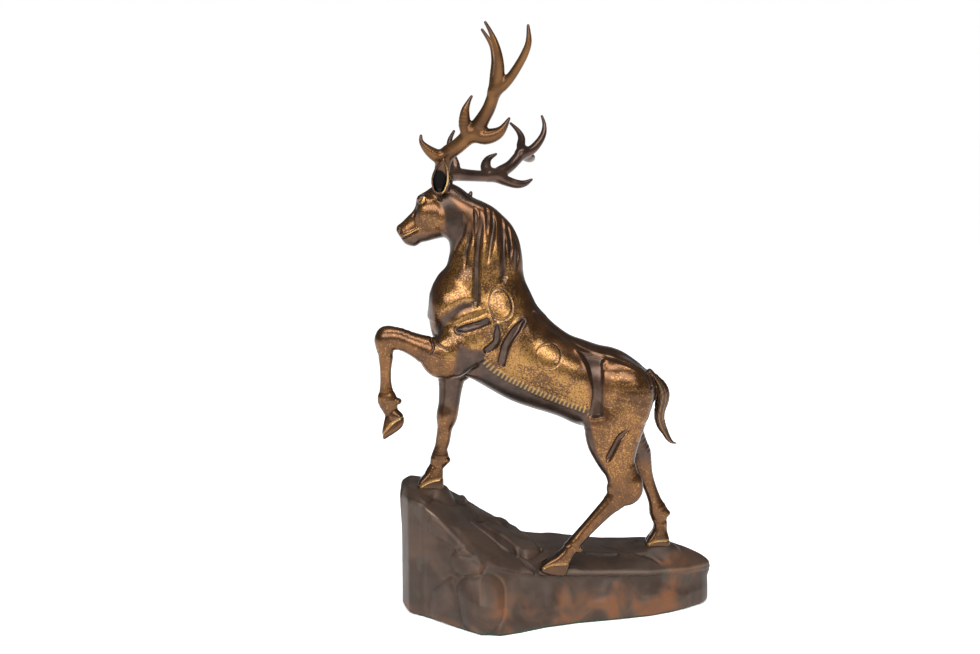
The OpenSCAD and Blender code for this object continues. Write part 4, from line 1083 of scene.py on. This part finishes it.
def make_felt():
    f = Finish("felt_look", "felt", Roughness=0.95)
    f.feed("Base Color", f.mix(f.noise(1.2, 3.0, 0.7), srgb(24, 44, 30), srgb(52, 80, 58)))
    f.bump(f.noise(0.8, 3.0, 0.7), 0.3, 0.6)
    return f.material


# ---------------------------------------------------------------- painting (mm)
# Gilded places on both flanks: outline in (x, z), amount, softness of the edge
GILDING = [(CHEEK, 0.62, 3),
           ([(-130, 321), (-114, 335), (-104, 347), (-94, 338), (-91, 322), (-100, 315), (-112, 311),
             (-120, 307), (-128, 310)], 0.6, 5),
           ([(-100, 258), (-95, 280), (-88, 300), (-80, 316), (-70, 318), (-50, 318), (-38, 306),
             (-32, 290), (-30, 272), (-26, 258), (-55, 250), (-75, 254), (-98, 245)], 0.9, 9),
           ([(-97, 240), (-90, 248), (-76, 256), (-48, 272), (-28, 258), (-32, 243), (-44, 225),
             (-50, 214), (-62, 214), (-78, 216), (-88, 214), (-97, 222)], 1.0, 6),
           ([(-28, 247), (-19, 243), (-8, 232), (12, 218), (22, 205), (25, 190), (24, 169), (-10, 182),
             (-46, 201), (-60, 212), (-47, 213), (-38, 232)], 1.0, 5),
           ([(39, 212), (50, 209), (66, 199), (77, 188), (77, 172), (71, 156), (64, 128), (36, 122),
             (22, 146), (34, 168)], 0.72, 5)]


def gilding(x, z):
    out = np.zeros(len(x))
    for outline, amount, soft in GILDING:
        out = np.maximum(out, amount * within(outline, x, z, -soft, soft * 0.5))
    return out


def paint_trunk(points, normals):
    """Gilding, dark patina and painted shade of the barrel, neck and head."""
    x, _, z = points.T
    # flank: how far the surface faces a side; where it turns away, 0.9 * (1 - flank) adds painted shade at
    # the silhouette
    flank = ramp(np.abs(normals[:, 1]), 0.2, 0.62)
    line = curve(STRIPE)
    above = z - np.interp(x, line[:, 0], line[:, 1])
    stripe = ramp(above, -0.5, 1.5) * ramp(x, -26, -6) * 0.6
    hem = curve(FRINGE)
    under = np.interp(x, hem[:, 0], hem[:, 1]) - z
    belly = ramp(under, 1.5, 4.5) * ramp(x, -74, -62) * (1 - ramp(x, 27, 34))
    band = 0.85 * within(BAND, x, z, -1.6, 0.6)
    elbow = 0.95 * within(ELBOW, x, z, -2.5, 2.5)
    marks = [stroke(path, width, x, z, 0.3, end) for path, width, _, end in MANE]
    marks += [near_line(path, x, z, width * 0.3, width * 0.52) for path, width, _ in SLOTS]
    marks += [stroke(CREASE, 7.5, x, z, 0.05, 0.25), 0.7 * (1 - ramp(off_oval(x, z), 0.3, 1.0)),
              0.45 * (1 - ramp(off_ring(x, z), 0.2, 0.9))]
    crown = 0.8 * ramp(z + 0.25 * (x + 90), 341, 346) * ramp(x, -100, -92)
    strap = 0.95 * within(STRAP, x, z, -1.5, 1.5)
    jaw = 0.85 * (1 - ramp(z - 0.2 * (x + 124) - 310.5, -2, 2)) * (z > 298) * (x < -86) * (x > -122)
    # Painted shadow: a dark band just outside the raised cheek's rear edge
    past = area(CHEEK, x, z)
    edge = ramp(past, 0.0, 1.0) * (1 - ramp(past, 1.5, 4)) * ramp(x + 0.2 * (z - 330), -100, -94)
    lines = [0.85 * near_line(p, x, z, 0.5, 1.3) for p in (MOUTH, NOSTRIL, TEAR)]
    brow = 0.85 * (1 - ramp(np.hypot((x + 110) / 1.6, z - 344), 1.6, 3))
    # dark: the dark patina, with painted shadow behind the cheek (edge) and painted shade where the surface
    # turns away from the sides (1 - flank)
    dark = np.maximum.reduce([stripe, belly, band, elbow, np.maximum.reduce(marks) * flank, crown,
                              strap, jaw, 0.9 * edge * (x < -84), brow, 0.9 * (1 - flank)] + lines)
    rim = np.maximum(0.8 * near_line(EYE_LINE, x, z, 0.4, 1.1), 0.4 * near_line(LIP, x, z, 0.3, 1.0))
    for p, down in fringe_marks():
        t = np.clip((x - p[0]) * down[0] + (z - p[1]) * down[1], 2.0, 6.2)
        d = np.hypot(x - p[0] - t * down[0], z - p[1] - t * down[1])
        rim = np.maximum(rim, 0.5 * (1 - ramp(d, 0.3, 1.0)))
    return {"gilt": gilding(x, z) * flank, "dark": dark, "rim": rim * flank, "black": 0.4 * strap}


def paint_leg(part):
    horn = np.array(HORN[part])

    def values(points, normals):
        x, _, z = points.T
        low = z < 150
        flank = ramp(np.abs(normals[:, 1]), 0.2 + 0.2 * low, 0.62 + 0.25 * low)
        inner = 1 - ramp(normals[:, 1], 0.0, 0.4)
        # Painted shade on the faces that turn away from the sides, the legs' front and back
        dark = [0.9 * (1 - flank)]
        if part == "right_foreleg":
            dark += [0.9 * ramp(z, 160, 176) * inner]
        if part == "left_hind_leg":
            dark += [0.85 * within(BAND, x, z, -1.6, 0.6), 0.9 * within(THIGH, x, z, -1, 1),
                     0.8 * stroke(HAUNCH, 5, x, z, 0.3, 0.15)]
        if part == "right_hind_leg":
            dark += [0.9 * ramp(z, 118, 130) * inner,
                     0.8 * stroke(HAUNCH, 5, x, z, 0.3, 0.15) * (1 - inner)]
        if part == "left_foreleg":
            dark += [flank * near_line(path, x, z, width * 0.3, width * 0.52)
                     for path, width, _ in SLOTS[:2]]
            dark += [stroke(CREASE, 7.5, x, z, 0.05, 0.25), 0.95 * within(ELBOW, x, z, -2.5, 2.5)]
            dark += [0.7 * near_line(line, x, z, 0.4, 1.4) for line in FOREARM]
        dark = np.maximum.reduce(dark)
        hoof = ramp(np.interp(x, horn[:, 0], horn[:, 1]) - z, 0, 1) * (z < horn[:, 1].max() + 2)
        gilt = np.maximum(gilding(x, z), 0.55) * flank * (1 - dark) * (1 - 0.7 * hoof)
        rim = 0.4 * near_line(HORN[part], x, z, 0.3, 1.0) * flank
        return {"gilt": gilt, "dark": np.maximum(dark, 0.35 * hoof), "rim": rim, "black": 0 * x}
    return values


def paint_tail(points, normals):
    x, _, z = points.T
    strand = 0.6 * np.clip(np.cos((x - tail_middle(z)) * TAIL_STRANDS + 1.5), 0, 1) ** 6
    return {"gilt": 0.25 + 0 * x, "dark": 0.75 - 0.5 * strand, "rim": strand * 0.5, "black": 0 * x}


def paint_ear(part):
    ear, shift = EARS[part]
    out = -1 if shift[0] < 0 else 1
    up = ear[::-1]
    heights = [s[1] for s in up]

    def values(points, normals):
        x, y, z = points.T
        mid_y = np.interp(z, heights, [s[5] for s in up])
        mid_x = np.interp(z, heights, [(s[0] + s[2]) / 2 for s in up])
        half = np.interp(z, heights, [(s[2] - s[0]) / 2 for s in up])
        u = (x - mid_x) / np.maximum(half, 0.5)
        cup = (normals[:, 1] * out > 0.1) * (np.abs(u) < 0.8)
        level = np.hypot((x - ear[4][0] - 5) / 6.6, (z - ear[4][1] - 4.5) / 8.8)
        black = cup * (1 - ramp(level, 0.9, 1.05))
        rim = ramp(u, 0.8, 0.92) * ramp((y - mid_y) * out, 0, 1.2)
        dark = 0.3 + 0.6 * (1 - ramp(z, 345, 349))
        return {"gilt": 0.3 + 0 * x, "dark": dark, "rim": rim, "black": black}
    return values


def paint_antler(beam, tines):
    tips = np.array([beam[-1][:3]] + [t[-1][:3] for t in tines], float)

    def values(points, normals):
        d = np.min([np.linalg.norm(points - t, axis=1) for t in tips], axis=0)
        return {"tip": 0.7 * (1 - ramp(d, 2, 12))}
    return values


def paint_rock(points, normals):
    x, y, z = points.T
    f1, zf = rock_row(x, 2), rock_row(x, 3)
    wall = 1 - ramp(normals[:, 2], 0.35, 0.8)
    edge = np.hypot(y - f1, z - zf)
    # Painted highlight: a pale line along the front top edge, strongest on the left slope, only where the
    # surface faces up
    edge_highlight = np.interp(x, [-128, -112, -104, -96, -80, -66, -58, -40, 130],
                     [0, 0.15, 0.7, 0.9, 0.55, 1, 0.35, 0.1, 0.12])
    rim = edge_highlight * (1 - ramp(edge, 0.6, 2.3)) * (normals[:, 2] > 0.1)
    rust = wall * (0.25 + 0.75 * ramp(x, -96, -60)) * (0.55 + 0.45 * (1 - ramp(z, 12, 44)))
    rust = np.maximum(rust, 0.9 * (1 - ramp(z, 3, 14)) * wall)
    ring = np.abs(np.hypot((x - HOLLOW[0][0]) / HOLLOW[1][0], (y - HOLLOW[0][1]) / HOLLOW[1][1]) - 1.25)
    stain = np.maximum(1 - ramp(ring, 0.05, 0.4), ramp(x, 84, 104) * 0.6)
    rust = np.maximum(rust, (1 - wall) * 0.8 * stain)
    rust = np.maximum(rust, (1 - wall) * 0.9 * near_line(TRAIL, x, y, 0.8, 3))
    outside = z < np.maximum(rock_top(x, y), 0) + 3
    return {"wall": wall, "rust": rust * outside, "rim": rim}


# ---------------------------------------------------------------- the statuette's pieces
gilt_bronze = make_gilt_bronze()
near_antler = make_antler_bronze("left_antler_look", srgb(104, 71, 40), srgb(72, 48, 28))
far_antler = make_antler_bronze("right_antler_look", srgb(90, 68, 56), srgb(64, 49, 42))
rock_look = make_rock()
brass_sheet = make_metal("brass_sheet_look", "brass_sheet", srgb(214, 180, 110), srgb(180, 148, 86), 0.42)
brass_rod = make_metal("brass_rod_look", "brass_rod", srgb(222, 188, 116), srgb(198, 162, 96), 0.3)
steel = make_metal("steel_look", "steel", srgb(176, 178, 182), srgb(140, 142, 148), 0.34)
felt = make_felt()

stag = sculpt_stag()
meshes = stag.castings()
for name, number in PARTS.items():
    if name.endswith("leg"):
        colours = paint_leg(name)
    elif name.endswith("ear"):
        colours = paint_ear(name)
    else:
        colours = paint_tail if name == "tail" else paint_trunk
    cast(stag, meshes[number], name + "_casting", name, "statuette", gilt_bronze, colours)

for name, beam, tines, (seat, axis), look in (
        ("left_antler", LEFT_BEAM, LEFT_TINES, SEATS[0], near_antler),
        ("right_antler", RIGHT_BEAM, RIGHT_TINES, SEATS[1], far_antler)):
    clay = sculpt_antler(beam, tines, seat, axis)
    cast(clay, clay.castings()[1], name + "_casting", name, name, look, paint_antler(beam, tines))

rock = sculpt_rock()
cast(rock, rock.castings()[1], "rock_casting", "rock_base", "statuette", rock_look, paint_rock)

for names, look in (
        (("base_cover",), brass_sheet), (("base_felt",), felt),
        (("cover_screws", "hoof_studs", "stud_washers", "stud_nuts"), steel),
        (("neck_dowel", "head_dowel", "shoulder_dowel", "hip_dowel", "tail_dowel", "left_antler_peg",
          "right_antler_peg"), brass_rod)):
    for name in names:
        for slot in bpy.data.objects[name].material_slots:
            slot.material = look

# ---------------------------------------------------------------- studio
FLOOR_SIZE = 60
MIRRORED_ROOM = 0.14                 # how bright the white room is in reflections; 1 elsewhere
CAMERA_PLACE = (-0.055, -1.037, 0.4035)
CAMERA_TILT = 81                     # degrees up from straight down
CAMERA_LENS = 48.2

bpy.ops.mesh.primitive_plane_add(size=FLOOR_SIZE, location=(0, 0, 0))
floor = bpy.context.object
floor.name = "floor"
paper = Finish("floor_look", "none", Roughness=0.9)
paper.shader.inputs["Base Color"].default_value = (1, 1, 1, 1)
paper.shader.inputs["Specular IOR Level"].default_value = 0
floor.data.materials.append(paper.material)

bpy.context.scene.view_settings.view_transform = "Standard"
world = bpy.data.worlds.new("studio")
bpy.context.scene.world = world
world.use_nodes = True
tree = world.node_tree
room = tree.nodes["Background"]
room.inputs["Color"].default_value = (1, 1, 1, 1)
rays = tree.nodes.new("ShaderNodeLightPath")
level = tree.nodes.new("ShaderNodeMapRange")
level.inputs["To Min"].default_value = 1.0
level.inputs["To Max"].default_value = MIRRORED_ROOM
tree.links.new(rays.outputs["Is Glossy Ray"], level.inputs["Value"])
tree.links.new(level.outputs[0], room.inputs["Strength"])


def softbox(name, place, target, width, height, power):
    """A rectangular area light, aimed at a target; power in watts."""
    light = bpy.data.lights.new(name, "AREA")
    light.shape, light.size, light.size_y, light.energy = "RECTANGLE", width, height, power
    lamp = bpy.data.objects.new(name, light)
    bpy.context.scene.collection.objects.link(lamp)
    lamp.location = place
    lamp.rotation_euler = (Vector(target) - Vector(place)).to_track_quat("-Z", "Y").to_euler()


softbox("key", (-0.15, -1.2, 0.9), (-0.02, 0, 0.25), 2.1, 0.5, 23)
softbox("top", (0.1, -0.5, 1.5), (0, 0, 0.2), 1.4, 0.4, 13)
softbox("back", (0.2, 1.5, 0.9), (0, 0, 0.2), 1.2, 0.8, 1)

eye = bpy.data.cameras.new("camera")
eye.sensor_width, eye.lens = 36, CAMERA_LENS
eye.clip_start, eye.clip_end = 0.05, 50
camera = bpy.data.objects.new("camera", eye)
camera.location = CAMERA_PLACE
camera.rotation_euler = (math.radians(CAMERA_TILT), 0, 0)
bpy.context.scene.collection.objects.link(camera)
bpy.context.scene.camera = camera
